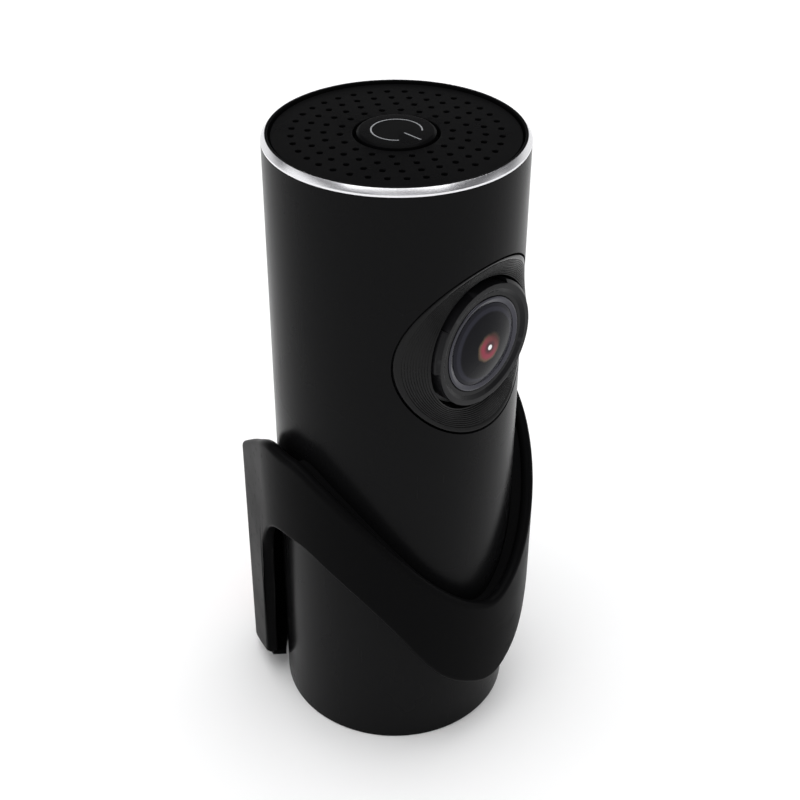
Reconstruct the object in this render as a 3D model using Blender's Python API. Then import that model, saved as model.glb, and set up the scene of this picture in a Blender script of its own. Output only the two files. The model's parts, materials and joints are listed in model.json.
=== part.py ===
"""Cylindrical dash camera that swivels in a sling bracket.

Frame: +Z runs up the body's axis, the lens looks along -Y, and the origin is the centre of the
body's flat base. The bracket's back plate stands on the +Y side.
"""

import math

import bmesh
import bpy

MM = 0.001
GAP = 0.3 * MM

# Body tube, cap, ring and top plate
BODY_RADIUS = 18.0 * MM
BODY_HEIGHT = 96.7 * MM
WALL = 1.8 * MM
BORE_RADIUS = BODY_RADIUS - WALL
REBATE_RADIUS = BODY_RADIUS - 0.95 * MM
RING_HEIGHT = 0.7 * MM
RING_CHAMFER = 0.55 * MM
TUBE_TOP = BODY_HEIGHT - RING_HEIGHT - GAP
PLATE_TOP = BODY_HEIGHT - 0.35 * MM
PLATE_THICKNESS = 1.2 * MM
PLATE_RADIUS = REBATE_RADIUS - GAP
CAP_THICKNESS = 1.3 * MM
HOLE_RADIUS = 0.43 * MM
HOLE_RINGS = ((36, 14.0 * MM), (30, 11.8 * MM), (24, 9.65 * MM), (18, 7.5 * MM))

# Power button
BUTTON_RADIUS = 5.35 * MM
BUTTON_HOLE_RADIUS = 5.85 * MM
BUTTON_RISE = 0.4 * MM
BUTTON_FLANGE_RADIUS = 6.5 * MM

# Lens: heights along the lens axis are measured out from the body's axis
LENS_Z = 70.7 * MM
LENS_BORE_RADIUS = 13.28 * MM
BEZEL_INNER_RADIUS = 9.75 * MM
BEZEL_INNER_DEPTH = 16.2 * MM
BEZEL_BACK = 10.6 * MM
LENS_RING_RADIUS = 9.45 * MM
LENS_RING_BACK = 12.4 * MM
LENS_RING_FRONT = 17.1 * MM
RECESS_RADIUS = 8.95 * MM
RING_RECESSES = ((64, 146), (184, 266), (304, 386))
DOME_RADIUS = 6.05 * MM
DOME_RISE = 1.2 * MM
DOME_TOP = 17.9 * MM
BARREL_RADIUS = 6.0 * MM
BARREL_BORE = 4.8 * MM

# Ports in the back of the body, above the bracket
CARD_Z = 57.4 * MM
CARD_SIZE = (11.0 * MM, 15.0 * MM, 1.0 * MM)
CARD_OUTER_END = 17.4 * MM
SOCKET_Z = 66.0 * MM
LIGHT_Z = 75.0 * MM
MICROPHONE_Z = 79.0 * MM

# Inner frame
RAIL_INNER = 13.4 * MM
RAIL_OUTER = 15.0 * MM
DECK_RADIUS = 15.6 * MM
FRAME_BOTTOM = 1.7 * MM
MIDDLE_DECK = 51.5 * MM
TOP_DECK = 84.5 * MM
DECK_THICKNESS = 1.4 * MM
BASE_SCREW_X = 11.0 * MM

# Bracket: a wall that follows the body in front and a flat plate at the back
BAND_RADIUS = 21.4 * MM
BAND_WALL = 1.8 * MM
PLATE_BACK = 21.2 * MM
CORNER_RADIUS = 6.0 * MM
CORNER_X = 10.0 * MM
LEG_FRONT_Y = 11.5 * MM
TONGUE_BOTTOM = 2.0 * MM
TONGUE_FLAT = 12.0 * MM
TONGUE_RISE = 95.0
FLOOR_THICKNESS = 1.0 * MM
FLOOR_LIFT = 0.1 * MM
FLOOR_RADIUS = 18.4 * MM
# Height in mm of the wall's top edge, at azimuths in degrees from the lens side round to the back
TOP_EDGE = ((0, 26.8), (12, 28.6), (27, 33.2), (44, 39.9), (60, 46.0), (75, 50.4), (90, 52.9),
            (103, 52.9), (123, 49.3), (140, 44.5), (157, 38.0), (168, 34.6), (180, 33.6))
# Height in mm of the band's lower edge, from the lens side to the top of the arch over the leg
LOWER_EDGE = ((0, 10.5), (14, 12.4), (25, 15.4), (35, 20.0), (46, 26.0), (60, 31.9), (76, 36.6),
              (84, 38.2), (92, 38.5))
ARCH_TOP_AZIMUTH = 95.0
ARCH_TOP_Z = 38.5 * MM
ARCH_FOOT_Z = 23.0 * MM
COLUMN_COUNT = 54

PAD_SIZE = (18.0 * MM, 1.0 * MM, 28.0 * MM)
PAD_Z = 17.5 * MM

BODY_SEGMENTS = 64
SEGMENTS = 40


def clear_scene():
    for item in list(bpy.data.objects):
        bpy.data.objects.remove(item, do_unlink=True)


def make_material(name, colour, roughness, metallic=0.0):
    material = bpy.data.materials.new(name)
    material.use_nodes = True
    shader = material.node_tree.nodes["Principled BSDF"]
    shader.inputs["Base Color"].default_value = (*colour, 1.0)
    shader.inputs["Roughness"].default_value = roughness
    shader.inputs["Metallic"].default_value = metallic
    return material


def make_empty(name, location, parent=None):
    empty = bpy.data.objects.new(name, None)
    empty.location = location
    empty.parent = parent
    bpy.context.collection.objects.link(empty)
    return empty


def add_object(name, mesh_builder, material, parent, location=(0, 0, 0), lens_axis=False):
    """Turn a bmesh into a named object. A piece on the lens axis has its +Z along world -Y."""
    bmesh.ops.recalc_face_normals(mesh_builder, faces=mesh_builder.faces)
    mesh = bpy.data.meshes.new(name)
    mesh_builder.to_mesh(mesh)
    mesh_builder.free()
    mesh.materials.append(material)
    mesh.shade_smooth()
    mesh.set_sharp_from_angle(angle=math.radians(35))
    item = bpy.data.objects.new(name, mesh)
    item.parent = parent
    item.location = location
    if lens_axis:
        item.location = (0, 0, LENS_Z)
        item.rotation_euler = (math.radians(90), 0, 0)
    bpy.context.collection.objects.link(item)
    return item


def use_as_tool(target, tool, operation):
    """Cut or join a target with a tool object that the finished model leaves out."""
    tool.hide_render = True
    tool.display_type = "WIRE"
    modifier = target.modifiers.new(operation.lower(), "BOOLEAN")
    modifier.operation = operation
    modifier.solver = "EXACT"
    modifier.object = tool


def box_mesh(low, high):
    builder = bmesh.new()
    corners = []
    for x in (low[0], high[0]):
        for y in (low[1], high[1]):
            for z in (low[2], high[2]):
                corners.append(builder.verts.new((x, y, z)))
    for face in ((0, 1, 3, 2), (4, 6, 7, 5), (0, 4, 5, 1), (2, 3, 7, 6), (0, 2, 6, 4), (1, 5, 7, 3)):
        builder.faces.new([corners[index] for index in face])
    return builder


def prism_mesh(outline, low, high):
    """Extrude a flat outline of (x, y) points from z = low to z = high."""
    builder = bmesh.new()
    bottom = [builder.verts.new((x, y, low)) for x, y in outline]
    top = [builder.verts.new((x, y, high)) for x, y in outline]
    builder.faces.new(bottom)
    builder.faces.new(top)
    for index in range(len(outline)):
        after = (index + 1) % len(outline)
        builder.faces.new((bottom[index], bottom[after], top[after], top[index]))
    return builder


def circle_outline(radius, count=SEGMENTS, centre=(0, 0)):
    points = []
    for index in range(count):
        angle = 2 * math.pi * index / count
        points.append((centre[0] + radius * math.cos(angle), centre[1] + radius * math.sin(angle)))
    return points


def circle_arc(radius, start, end, steps=12):
    """Points on a circle from one angle to another, in degrees."""
    points = []
    for step in range(steps + 1):
        angle = math.radians(start + (end - start) * step / steps)
        points.append((radius * math.cos(angle), radius * math.sin(angle)))
    return points


def rounded_outline(width, height, radius, steps=5):
    points = []
    for quarter, (side_x, side_y) in enumerate(((1, 1), (-1, 1), (-1, -1), (1, -1))):
        for step in range(steps + 1):
            angle = math.pi / 2 * (quarter + step / steps)
            x = side_x * (width / 2 - radius) + radius * math.cos(angle)
            y = side_y * (height / 2 - radius) + radius * math.sin(angle)
            points.append((x, y))
    return points


def turned_mesh(profile, segments=SEGMENTS, closed=True):
    """Turn a profile of (radius, height) points about Z. An open profile ends on the axis."""
    builder = bmesh.new()
    rings = []
    for radius, height in profile:
        if radius == 0:
            rings.append([builder.verts.new((0, 0, height))] * segments)
            continue
        ring = []
        for index in range(segments):
            angle = 2 * math.pi * index / segments
            ring.append(builder.verts.new((radius * math.cos(angle), radius * math.sin(angle), height)))
        rings.append(ring)
    last = len(rings) if closed else len(rings) - 1
    for row in range(last):
        lower = rings[row]
        upper = rings[(row + 1) % len(rings)]
        for index in range(segments):
            after = (index + 1) % segments
            corners = []
            for corner in (lower[index], lower[after], upper[after], upper[index]):
                if corner not in corners:
                    corners.append(corner)
            builder.faces.new(corners)
    return builder


def loft_mesh(loops, closed=True):
    """Skin closed loops of points, each joined to the next; the last meets the first if closed."""
    builder = bmesh.new()
    rows = [[builder.verts.new(point) for point in loop] for loop in loops]
    count = len(rows[0])
    pairs = len(rows) if closed else len(rows) - 1
    for row in range(pairs):
        here = rows[row]
        there = rows[(row + 1) % len(rows)]
        for index in range(count):
            after = (index + 1) % count
            builder.faces.new((here[index], here[after], there[after], there[index]))
    if not closed:
        builder.faces.new(rows[0])
        builder.faces.new(rows[-1])
    return builder


def smooth_value(points, position):
    """Read a smooth curve through (position, value) points, level at both of its ends."""
    slopes = [0.0]
    for before, here, after in zip(points, points[1:], points[2:]):
        rise_in = (here[1] - before[1]) / (here[0] - before[0])
        rise_out = (after[1] - here[1]) / (after[0] - here[0])
        slopes.append((rise_in + rise_out) / 2 if rise_in * rise_out > 0 else 0.0)
    slopes.append(0.0)
    for index in range(len(points) - 1):
        start, end = points[index], points[index + 1]
        if position <= end[0]:
            break
    span = end[0] - start[0]
    t = min(max((position - start[0]) / span, 0.0), 1.0)
    value = (2 * t ** 3 - 3 * t ** 2 + 1) * start[1] + (3 * t ** 2 - 2 * t ** 3) * end[1]
    value += (t ** 3 - 2 * t ** 2 + t) * span * slopes[index]
    value += (t ** 3 - t ** 2) * span * slopes[index + 1]
    return value


# ---------------------------------------------------------------- outer body

def build_housing_tube(material, parent):
    profile = ((BODY_RADIUS, 0), (BODY_RADIUS, TUBE_TOP), (REBATE_RADIUS, TUBE_TOP),
               (REBATE_RADIUS, TUBE_TOP - 1.2 * MM), (BORE_RADIUS, TUBE_TOP - 1.2 * MM),
               (BORE_RADIUS, CAP_THICKNESS + GAP), (REBATE_RADIUS, CAP_THICKNESS + GAP),
               (REBATE_RADIUS, 0))
    tube = add_object("housing_tube", turned_mesh(profile, BODY_SEGMENTS), material, parent)
    lens_bore = prism_mesh(circle_outline(LENS_BORE_RADIUS, 48), 5 * MM, 25 * MM)
    lens_tool = add_object("lens_bore_tool", lens_bore, material, parent, lens_axis=True)
    use_as_tool(tube, lens_tool, "DIFFERENCE")
    openings = (
        ("card_slot_tool", rounded_outline(12.0 * MM, 1.9 * MM, 0.9 * MM), CARD_Z),
        ("socket_port_tool", rounded_outline(9.0 * MM, 4.2 * MM, 1.2 * MM), SOCKET_Z),
        ("light_hole_tool", circle_outline(1.0 * MM, 12), LIGHT_Z),
        ("microphone_hole_tool", circle_outline(0.45 * MM, 8), MICROPHONE_Z),
    )
    for name, outline, height in openings:
        tool = add_object(name, prism_mesh(outline, -25 * MM, -5 * MM), material, parent)
        tool.location = (0, 0, height)
        tool.rotation_euler = (math.radians(90), 0, 0)
        use_as_tool(tube, tool, "DIFFERENCE")


def build_base_cap(material, parent):
    radius = REBATE_RADIUS - GAP
    cap = add_object("base_cap", prism_mesh(circle_outline(radius), 0, CAP_THICKNESS), material, parent)
    for side in (-1, 1):
        head_profile = ((0, -1 * MM), (1.7 * MM, -1 * MM), (1.7 * MM, 0.8 * MM), (1.1 * MM, 0.8 * MM),
                        (1.1 * MM, 3 * MM), (0, 3 * MM))
        tool = add_object(f"cap_hole_tool_{side}", turned_mesh(head_profile, 16, closed=False), material,
                          parent, (side * BASE_SCREW_X, 0, 0))
        use_as_tool(cap, tool, "DIFFERENCE")


def build_top_ring(material, parent):
    low = BODY_HEIGHT - RING_HEIGHT
    profile = ((BODY_RADIUS, low), (BODY_RADIUS - RING_CHAMFER, BODY_HEIGHT), (REBATE_RADIUS, BODY_HEIGHT),
               (REBATE_RADIUS, low))
    add_object("top_ring", turned_mesh(profile, BODY_SEGMENTS), material, parent)


def build_grille_plate(material, parent):
    low = PLATE_TOP - PLATE_THICKNESS
    profile = ((BUTTON_HOLE_RADIUS, low), (PLATE_RADIUS, low), (PLATE_RADIUS, PLATE_TOP),
               (BUTTON_HOLE_RADIUS, PLATE_TOP))
    plate = add_object("grille_plate", turned_mesh(profile), material, parent)
    drill = bmesh.new()
    for count, radius in HOLE_RINGS:
        for index in range(count):
            angle = 2 * math.pi * index / count
            centre = (radius * math.cos(angle), radius * math.sin(angle))
            outline = circle_outline(HOLE_RADIUS, 6, centre)
            bottom = [drill.verts.new((x, y, low - 1 * MM)) for x, y in outline]
            top = [drill.verts.new((x, y, PLATE_TOP + 1 * MM)) for x, y in outline]
            drill.faces.new(bottom)
            drill.faces.new(top)
            for corner in range(6):
                after = (corner + 1) % 6
                drill.faces.new((bottom[corner], bottom[after], top[after], top[corner]))
    use_as_tool(plate, add_object("drill_tool", drill, material, parent), "DIFFERENCE")


# ---------------------------------------------------------------- power button

def build_power_button(material, parent):
    """The cap's flange catches under the plate; its stem stops short of the switch."""
    top = PLATE_TOP + BUTTON_RISE
    flange_top = PLATE_TOP - PLATE_THICKNESS - GAP
    profile = ((0, flange_top - 0.9 * MM), (1.4 * MM, flange_top - 0.9 * MM),
               (1.4 * MM, flange_top - 0.5 * MM), (BUTTON_FLANGE_RADIUS, flange_top - 0.5 * MM),
               (BUTTON_FLANGE_RADIUS, flange_top), (BUTTON_RADIUS, flange_top),
               (BUTTON_RADIUS, top - 0.35 * MM), (BUTTON_RADIUS - 0.35 * MM, top), (0, top))
    local = [(radius, height - top) for radius, height in profile]
    add_object("power_button", turned_mesh(local, 32, closed=False), material, parent)


def build_button_works(materials, parent):
    board_top = 92.6 * MM
    board = box_mesh((-15.0 * MM, -4.0 * MM, board_top - 1.0 * MM), (15.0 * MM, 4.0 * MM, board_top))
    add_object("top_board", board, materials["board"], parent)
    pad_profile = ((3.4 * MM, board_top + GAP), (4.6 * MM, board_top + GAP),
                   (4.2 * MM, board_top + 0.9 * MM), (3.5 * MM, board_top + 0.9 * MM))
    add_object("button_return_pad", turned_mesh(pad_profile, 20), materials["rubber"], parent)
    dome_top = board_top + 0.75 * MM
    switch = ((0, board_top + GAP), (2.2 * MM, board_top + GAP), (2.2 * MM, board_top + 0.5 * MM),
              (1.1 * MM, dome_top - 0.05 * MM), (0, dome_top))
    add_object("button_switch", turned_mesh(switch, 16, closed=False), materials["steel"], parent)


# ---------------------------------------------------------------- speaker

def build_speaker(materials, parent):
    low = TOP_DECK + DECK_THICKNESS + GAP
    basket = ((5.0 * MM, low), (8.0 * MM, low), (11.0 * MM, low + 3.2 * MM), (11.0 * MM, low + 4.8 * MM),
              (10.2 * MM, low + 4.8 * MM), (10.2 * MM, low + 3.5 * MM), (7.6 * MM, low + 0.8 * MM),
              (5.0 * MM, low + 0.8 * MM))
    add_object("speaker_basket", turned_mesh(basket, 24), materials["steel"], parent)
    magnet = ((0, low), (4.5 * MM, low), (4.5 * MM, low + 2.4 * MM), (0, low + 2.4 * MM))
    add_object("speaker_magnet", turned_mesh(magnet, 20, closed=False), materials["magnet"], parent)
    cone = ((0, low + 2.9 * MM), (2.6 * MM, low + 2.9 * MM), (6.2 * MM, low + 2.5 * MM),
            (9.8 * MM, low + 4.1 * MM), (9.8 * MM, low + 4.5 * MM), (6.2 * MM, low + 2.9 * MM),
            (2.6 * MM, low + 3.9 * MM), (0, low + 4.3 * MM))
    add_object("speaker_cone", turned_mesh(cone, 24, closed=False), materials["paper"], parent)


# ---------------------------------------------------------------- lens

def build_lens_bezel(material, parent):
    """A funnel from the tube's curved face in to the lens ring, flat behind."""
    outer_radius = LENS_BORE_RADIUS - GAP
    loops = []
    steps = 3
    count = 48
    for step in range(steps + 1):
        share = step / steps
        radius = BEZEL_INNER_RADIUS + (outer_radius - BEZEL_INNER_RADIUS) * share
        loop = []
        for index in range(count):
            angle = 2 * math.pi * index / count
            rim = math.sqrt(BODY_RADIUS ** 2 - (outer_radius * math.cos(angle)) ** 2)
            height = BEZEL_INNER_DEPTH + (rim - BEZEL_INNER_DEPTH) * share
            loop.append((radius * math.cos(angle), radius * math.sin(angle), height))
        loops.append(loop)
    for radius in (outer_radius, BEZEL_INNER_RADIUS):
        loops.append([(x, y, BEZEL_BACK) for x, y in circle_outline(radius, count)])
    add_object("lens_bezel", loft_mesh(loops), material, parent, lens_axis=True)


def build_bezel_gasket(material, parent):
    profile = ((10.0 * MM, BEZEL_BACK - 1.3 * MM), (12.6 * MM, BEZEL_BACK - 1.3 * MM),
               (12.6 * MM, BEZEL_BACK - GAP), (10.0 * MM, BEZEL_BACK - GAP))
    add_object("bezel_gasket", turned_mesh(profile, 32), material, parent, lens_axis=True)


def build_lens_ring(material, parent):
    seat = 13.9 * MM
    profile = ((BARREL_RADIUS + GAP, LENS_RING_BACK), (LENS_RING_RADIUS, LENS_RING_BACK),
               (LENS_RING_RADIUS, LENS_RING_FRONT - 0.5 * MM), (LENS_RING_RADIUS - 0.4 * MM, LENS_RING_FRONT),
               (8.2 * MM, LENS_RING_FRONT), (7.6 * MM, LENS_RING_FRONT - 0.4 * MM),
               (7.05 * MM, LENS_RING_FRONT - 0.4 * MM), (7.05 * MM, seat), (BARREL_RADIUS + GAP, seat))
    ring = add_object("lens_ring", turned_mesh(profile), material, parent, lens_axis=True)
    for index, (start, end) in enumerate(RING_RECESSES):
        outline = circle_arc(RECESS_RADIUS, start, end) + circle_arc(LENS_RING_RADIUS + 1 * MM, end, start)
        recess = prism_mesh(outline, LENS_RING_FRONT - 1.2 * MM, LENS_RING_FRONT + 2 * MM)
        tool = add_object(f"recess_tool_{index}", recess, material, parent, lens_axis=True)
        use_as_tool(ring, tool, "DIFFERENCE")


def dome_arc(top, steps=4):
    """Profile of a domed glass face, from its edge in to the axis."""
    points = []
    for step in range(steps + 1):
        share = 1 - step / steps
        points.append((DOME_RADIUS * share, top - DOME_RISE * share ** 2))
    return points


def build_lens_stack(materials, parent):
    """Everything turned about the lens axis, as name, material, profile, segments, closed."""
    front_glass = dome_arc(17.4 * MM)[::-1] + dome_arc(DOME_TOP)
    middle_glass = [(0, 14.7 * MM), (DOME_RADIUS, 14.7 * MM)] + dome_arc(17.1 * MM)
    barrel_bottom = -0.5 * MM
    pieces = (
        ("lens_retainer", "polymer_gloss",
         ((6.35 * MM, 14.2 * MM), (6.75 * MM, 14.2 * MM), (6.75 * MM, 16.9 * MM), (6.35 * MM, 16.9 * MM)),
         32, True),
        ("front_glass", "glass", front_glass, 28, False),
        ("lens_barrel", "anodised",
         ((BARREL_BORE, barrel_bottom), (BARREL_RADIUS, barrel_bottom), (BARREL_RADIUS, 14.4 * MM),
          (BARREL_BORE, 14.4 * MM)), 32, True),
        ("middle_glass", "glass", middle_glass, 28, False),
        ("aperture_ring", "polymer",
         ((1.2 * MM, 8.3 * MM), (4.5 * MM, 7.9 * MM), (4.5 * MM, 8.9 * MM), (1.2 * MM, 8.6 * MM)), 20, True),
        ("rear_glass", "glass",
         ((0, 1.2 * MM), (2.6 * MM, 1.5 * MM), (4.5 * MM, 2.2 * MM), (4.5 * MM, 3.4 * MM), (0, 4.2 * MM)),
         20, False),
    )
    for name, slot, profile, segments, closed in pieces:
        builder = turned_mesh(profile, segments, closed)
        add_object(name, builder, materials[slot], parent, lens_axis=True)


def build_lens_holder(material, parent):
    half = 8.0 * MM
    base_low = -3.2 * MM
    base_high = 3.0 * MM
    holder = add_object("lens_holder", box_mesh((-half, -half, base_low), (half, half, base_high)), material,
                        parent, lens_axis=True)
    tower = prism_mesh(circle_outline(7.8 * MM, 28), base_high - 1 * MM, 8.5 * MM)
    use_as_tool(holder, add_object("tower_tool", tower, material, parent, lens_axis=True), "UNION")
    bore = prism_mesh(circle_outline(BARREL_RADIUS + GAP, 28), -0.8 * MM, 10 * MM)
    use_as_tool(holder, add_object("bore_tool", bore, material, parent, lens_axis=True), "DIFFERENCE")
    side = 4.6 * MM
    chamber = box_mesh((-side, -side, base_low - 1 * MM), (side, side, -0.5 * MM))
    use_as_tool(holder, add_object("chamber_tool", chamber, material, parent, lens_axis=True), "DIFFERENCE")


def build_sensor(materials, parent):
    boxes = (
        ("infrared_filter", "glass", (3.6 * MM, 3.6 * MM), -1.5 * MM, -1.0 * MM),
        ("image_sensor", "silicon", (3.8 * MM, 3.8 * MM), -3.2 * MM, -2.2 * MM),
        ("sensor_board", "board", (11.0 * MM, 9.5 * MM), -4.8 * MM, -3.5 * MM),
    )
    for name, slot, (half_x, half_y), low, high in boxes:
        builder = box_mesh((-half_x, -half_y, low), (half_x, half_y, high))
        add_object(name, builder, materials[slot], parent, lens_axis=True)


# ---------------------------------------------------------------- card, power socket and boards

def build_card_works(materials, body, card_slide):
    half = CARD_SIZE[0] / 2
    thickness = CARD_SIZE[2]
    # The card's own frame starts at its outer end
    outline = ((-half, 0), (half, 0), (half, -9.0 * MM), (half - 1.3 * MM, -10.5 * MM),
               (half - 1.3 * MM, -CARD_SIZE[1]), (-half, -CARD_SIZE[1]))
    card = prism_mesh(outline, -thickness / 2, thickness / 2)
    add_object("memory_card", card, materials["polymer"], card_slide)
    low_z = CARD_Z - 1.2 * MM
    high_z = CARD_Z + 1.2 * MM
    inner_end = CARD_OUTER_END - CARD_SIZE[1]
    socket = box_mesh((-7.0 * MM, inner_end - 1.6 * MM, low_z), (7.0 * MM, 14.0 * MM, high_z))
    socket = add_object("card_socket", socket, materials["steel"], body)
    pocket = box_mesh((-half - GAP, inner_end - 0.5 * MM, CARD_Z - 0.8 * MM),
                      (half + GAP, 20.0 * MM, CARD_Z + 0.8 * MM))
    use_as_tool(socket, add_object("pocket_tool", pocket, materials["steel"], body), "DIFFERENCE")
    board_top = low_z - GAP
    board = box_mesh((-11.0 * MM, -8.0 * MM, board_top - 1.2 * MM), (8.0 * MM, 11.0 * MM, board_top))
    add_object("card_board", board, materials["board"], body)


def build_rear_board(materials, parent):
    front = 8.2 * MM
    back = 9.4 * MM
    board = box_mesh((-11.0 * MM, front, 61.0 * MM), (11.0 * MM, back, 82.0 * MM))
    add_object("rear_board", board, materials["board"], parent)
    shell = prism_mesh(rounded_outline(7.8 * MM, 3.0 * MM, 0.8 * MM), -16.3 * MM, -(back + GAP))
    shell = add_object("power_socket", shell, materials["steel"], parent, (0, 0, SOCKET_Z))
    shell.rotation_euler = (math.radians(90), 0, 0)
    mouth = prism_mesh(rounded_outline(7.2 * MM, 2.4 * MM, 0.6 * MM), -20 * MM, -(back + 0.9 * MM))
    mouth = add_object("mouth_tool", mouth, materials["steel"], parent, (0, 0, SOCKET_Z))
    mouth.rotation_euler = (math.radians(90), 0, 0)
    use_as_tool(shell, mouth, "DIFFERENCE")
    tongue = box_mesh((-2.6 * MM, back + 1.2 * MM, -0.3 * MM), (2.6 * MM, 15.4 * MM, 0.3 * MM))
    add_object("contact_tongue", tongue, materials["polymer"], parent, (0, 0, SOCKET_Z))
    pipe = prism_mesh(circle_outline(0.7 * MM, 10), -17.5 * MM, -(back + GAP))
    pipe = add_object("light_pipe", pipe, materials["clear"], parent, (0, 0, LIGHT_Z))
    pipe.rotation_euler = (math.radians(90), 0, 0)
    capsule = prism_mesh(circle_outline(1.6 * MM, 12), -(back + GAP + 1.3 * MM), -(back + GAP))
    capsule = add_object("microphone", capsule, materials["steel"], parent, (0, 0, MICROPHONE_Z))
    capsule.rotation_euler = (math.radians(90), 0, 0)


def build_main_board(materials, parent):
    boxes = (
        ("main_board", "board", (-12.5, 5.2, 8.0), (12.5, 6.4, 49.0)),
        ("processor", "silicon", (-6.5, 3.6, 28.0), (6.5, 4.9, 41.0)),
        ("heat_spreader", "aluminium", (-9.0, 2.1, 25.0), (9.0, 3.3, 44.0)),
        ("memory_chip", "silicon", (-5.0, 3.9, 13.0), (5.0, 4.9, 21.0)),
        ("power_choke", "magnet", (-9.0, 6.7, 14.0), (-3.0, 9.2, 20.0)),
        ("antenna", "copper", (-6.0, 12.2, 28.0), (6.0, 12.5, 46.0)),
    )
    for name, slot, low, high in boxes:
        builder = box_mesh([value * MM for value in low], [value * MM for value in high])
        add_object(name, builder, materials[slot], parent)


def build_backup_cell(materials, parent):
    centre_y = -6.8 * MM
    cell = ((0, 11.0 * MM), (5.6 * MM, 11.0 * MM), (6.2 * MM, 11.6 * MM), (6.2 * MM, 40.0 * MM),
            (5.9 * MM, 40.6 * MM), (6.2 * MM, 41.2 * MM), (6.2 * MM, 43.4 * MM), (5.6 * MM, 44.0 * MM),
            (0, 44.0 * MM))
    cell = turned_mesh(cell, 20, closed=False)
    add_object("backup_cell", cell, materials["sleeve"], parent, (0, centre_y, 0))
    inner = 6.5 * MM
    outer = 7.2 * MM
    outline = []
    for radius, angles in ((outer, range(-60, 241, 15)), (inner, range(240, -61, -15))):
        for degrees in angles:
            angle = math.radians(degrees + 180)
            outline.append((radius * math.cos(angle), radius * math.sin(angle)))
    clip = prism_mesh(outline, 22.0 * MM, 32.0 * MM)
    add_object("cell_clip", clip, materials["steel"], parent, (0, centre_y, 0))


def build_ribbon_cable(material, parent):
    """A flat cable from the sensor board down past the decks to the main board."""
    thickness = 0.3 * MM
    path = ((5.2, 70.0), (6.0, 68.0), (6.0, 64.0), (4.5, 60.0), (4.2, 52.0), (4.2, 46.0))
    left = [(y * MM, z * MM) for y, z in path]
    right = [(y + thickness, z) for y, z in reversed(left)]
    loops = []
    for x in (9.0 * MM, 12.0 * MM):
        loops.append([(x, y, z) for y, z in left + right])
    add_object("ribbon_cable", loft_mesh(loops, closed=False), material, parent)


def build_inner_frame(material, parent):
    """Two rails joined by three decks; the boards and the speaker mount on them."""
    deck = prism_mesh(circle_outline(DECK_RADIUS, 32), FRAME_BOTTOM, FRAME_BOTTOM + DECK_THICKNESS)
    frame = add_object("inner_frame", deck, material, parent)
    for side in (-1, 1):
        low_x, high_x = sorted((side * RAIL_INNER, side * RAIL_OUTER))
        rail = box_mesh((low_x, -3 * MM, FRAME_BOTTOM + 0.5 * MM), (high_x, 3 * MM, TOP_DECK + 0.5 * MM))
        use_as_tool(frame, add_object(f"rail_tool_{side}", rail, material, parent), "UNION")
        boss = prism_mesh(circle_outline(2.2 * MM, 12), FRAME_BOTTOM + 0.5 * MM, FRAME_BOTTOM + 5 * MM)
        boss = add_object(f"boss_tool_{side}", boss, material, parent, (side * BASE_SCREW_X, 0, 0))
        use_as_tool(frame, boss, "UNION")
        hole = prism_mesh(circle_outline(1.0 * MM, 12), 0, FRAME_BOTTOM + 6 * MM)
        hole = add_object(f"boss_hole_tool_{side}", hole, material, parent, (side * BASE_SCREW_X, 0, 0))
        use_as_tool(frame, hole, "DIFFERENCE")
    for name, height, hole_radius in (("middle", MIDDLE_DECK, 5.0 * MM), ("top", TOP_DECK, 4.0 * MM)):
        profile = ((hole_radius, height), (DECK_RADIUS, height), (DECK_RADIUS, height + DECK_THICKNESS),
                   (hole_radius, height + DECK_THICKNESS))
        ring = add_object(f"{name}_deck_tool", turned_mesh(profile, 32), material, parent)
        use_as_tool(frame, ring, "UNION")
    window = box_mesh((8.6 * MM, 3.6 * MM, 50 * MM), (12.6 * MM, 7.2 * MM, 54 * MM))
    use_as_tool(frame, add_object("cable_window_tool", window, material, parent), "DIFFERENCE")


def build_screws(material, parent):
    for number, side in enumerate((-1, 1), 1):
        profile = ((0, 0.1 * MM), (1.4 * MM, 0.1 * MM), (1.4 * MM, 0.5 * MM), (0.7 * MM, 0.5 * MM),
                   (0.7 * MM, 6.0 * MM), (0, 6.0 * MM))
        add_object(f"base_screw_{number}", turned_mesh(profile, 12, closed=False), material, parent,
                   (side * BASE_SCREW_X, 0, 0))


# ---------------------------------------------------------------- bracket

def wall_point(azimuth, inset):
    """Plan position on the wall at an azimuth in degrees from the lens side, inset from outside.

    The wall is the round band, a flat cheek that is tangent to it, the rounded corner and the
    flat back plate. The ray from the axis meets whichever of these lies nearest to the axis.
    """
    angle = math.radians(azimuth)
    direction = (math.sin(angle), -math.cos(angle))
    side = 1 if direction[0] >= 0 else -1
    corner = (CORNER_X, PLATE_BACK - CORNER_RADIUS)
    reach = math.hypot(*corner)
    lean = math.acos((BAND_RADIUS - CORNER_RADIUS) / reach)
    normal_angle = math.atan2(corner[1], corner[0]) - lean
    normal = (math.cos(normal_angle), math.sin(normal_angle))
    across = abs(direction[0])
    along = direction[1]
    band = BAND_RADIUS - inset
    if math.atan2(along, across) <= normal_angle:
        distance = band
    else:
        cheek = (BAND_RADIUS - inset) / (across * normal[0] + along * normal[1])
        back = (PLATE_BACK - inset) / along
        distance = min(cheek, back)
        projected = across * corner[0] + along * corner[1]
        clear = reach ** 2 - projected ** 2
        radius = CORNER_RADIUS - inset
        if clear < radius ** 2:
            rounded = projected + math.sqrt(radius ** 2 - clear)
            touch = (across * rounded - corner[0], along * rounded - corner[1])
            between = math.atan2(touch[1], touch[0])
            if normal_angle <= between <= math.pi / 2:
                distance = rounded
    return side * across * distance, along * distance


def tongue_height(x):
    """Lower edge of the back plate: level in the middle, curling up to its sides."""
    beyond = max(0.0, abs(x) - TONGUE_FLAT)
    return TONGUE_BOTTOM + TONGUE_RISE * beyond ** 2


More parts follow.
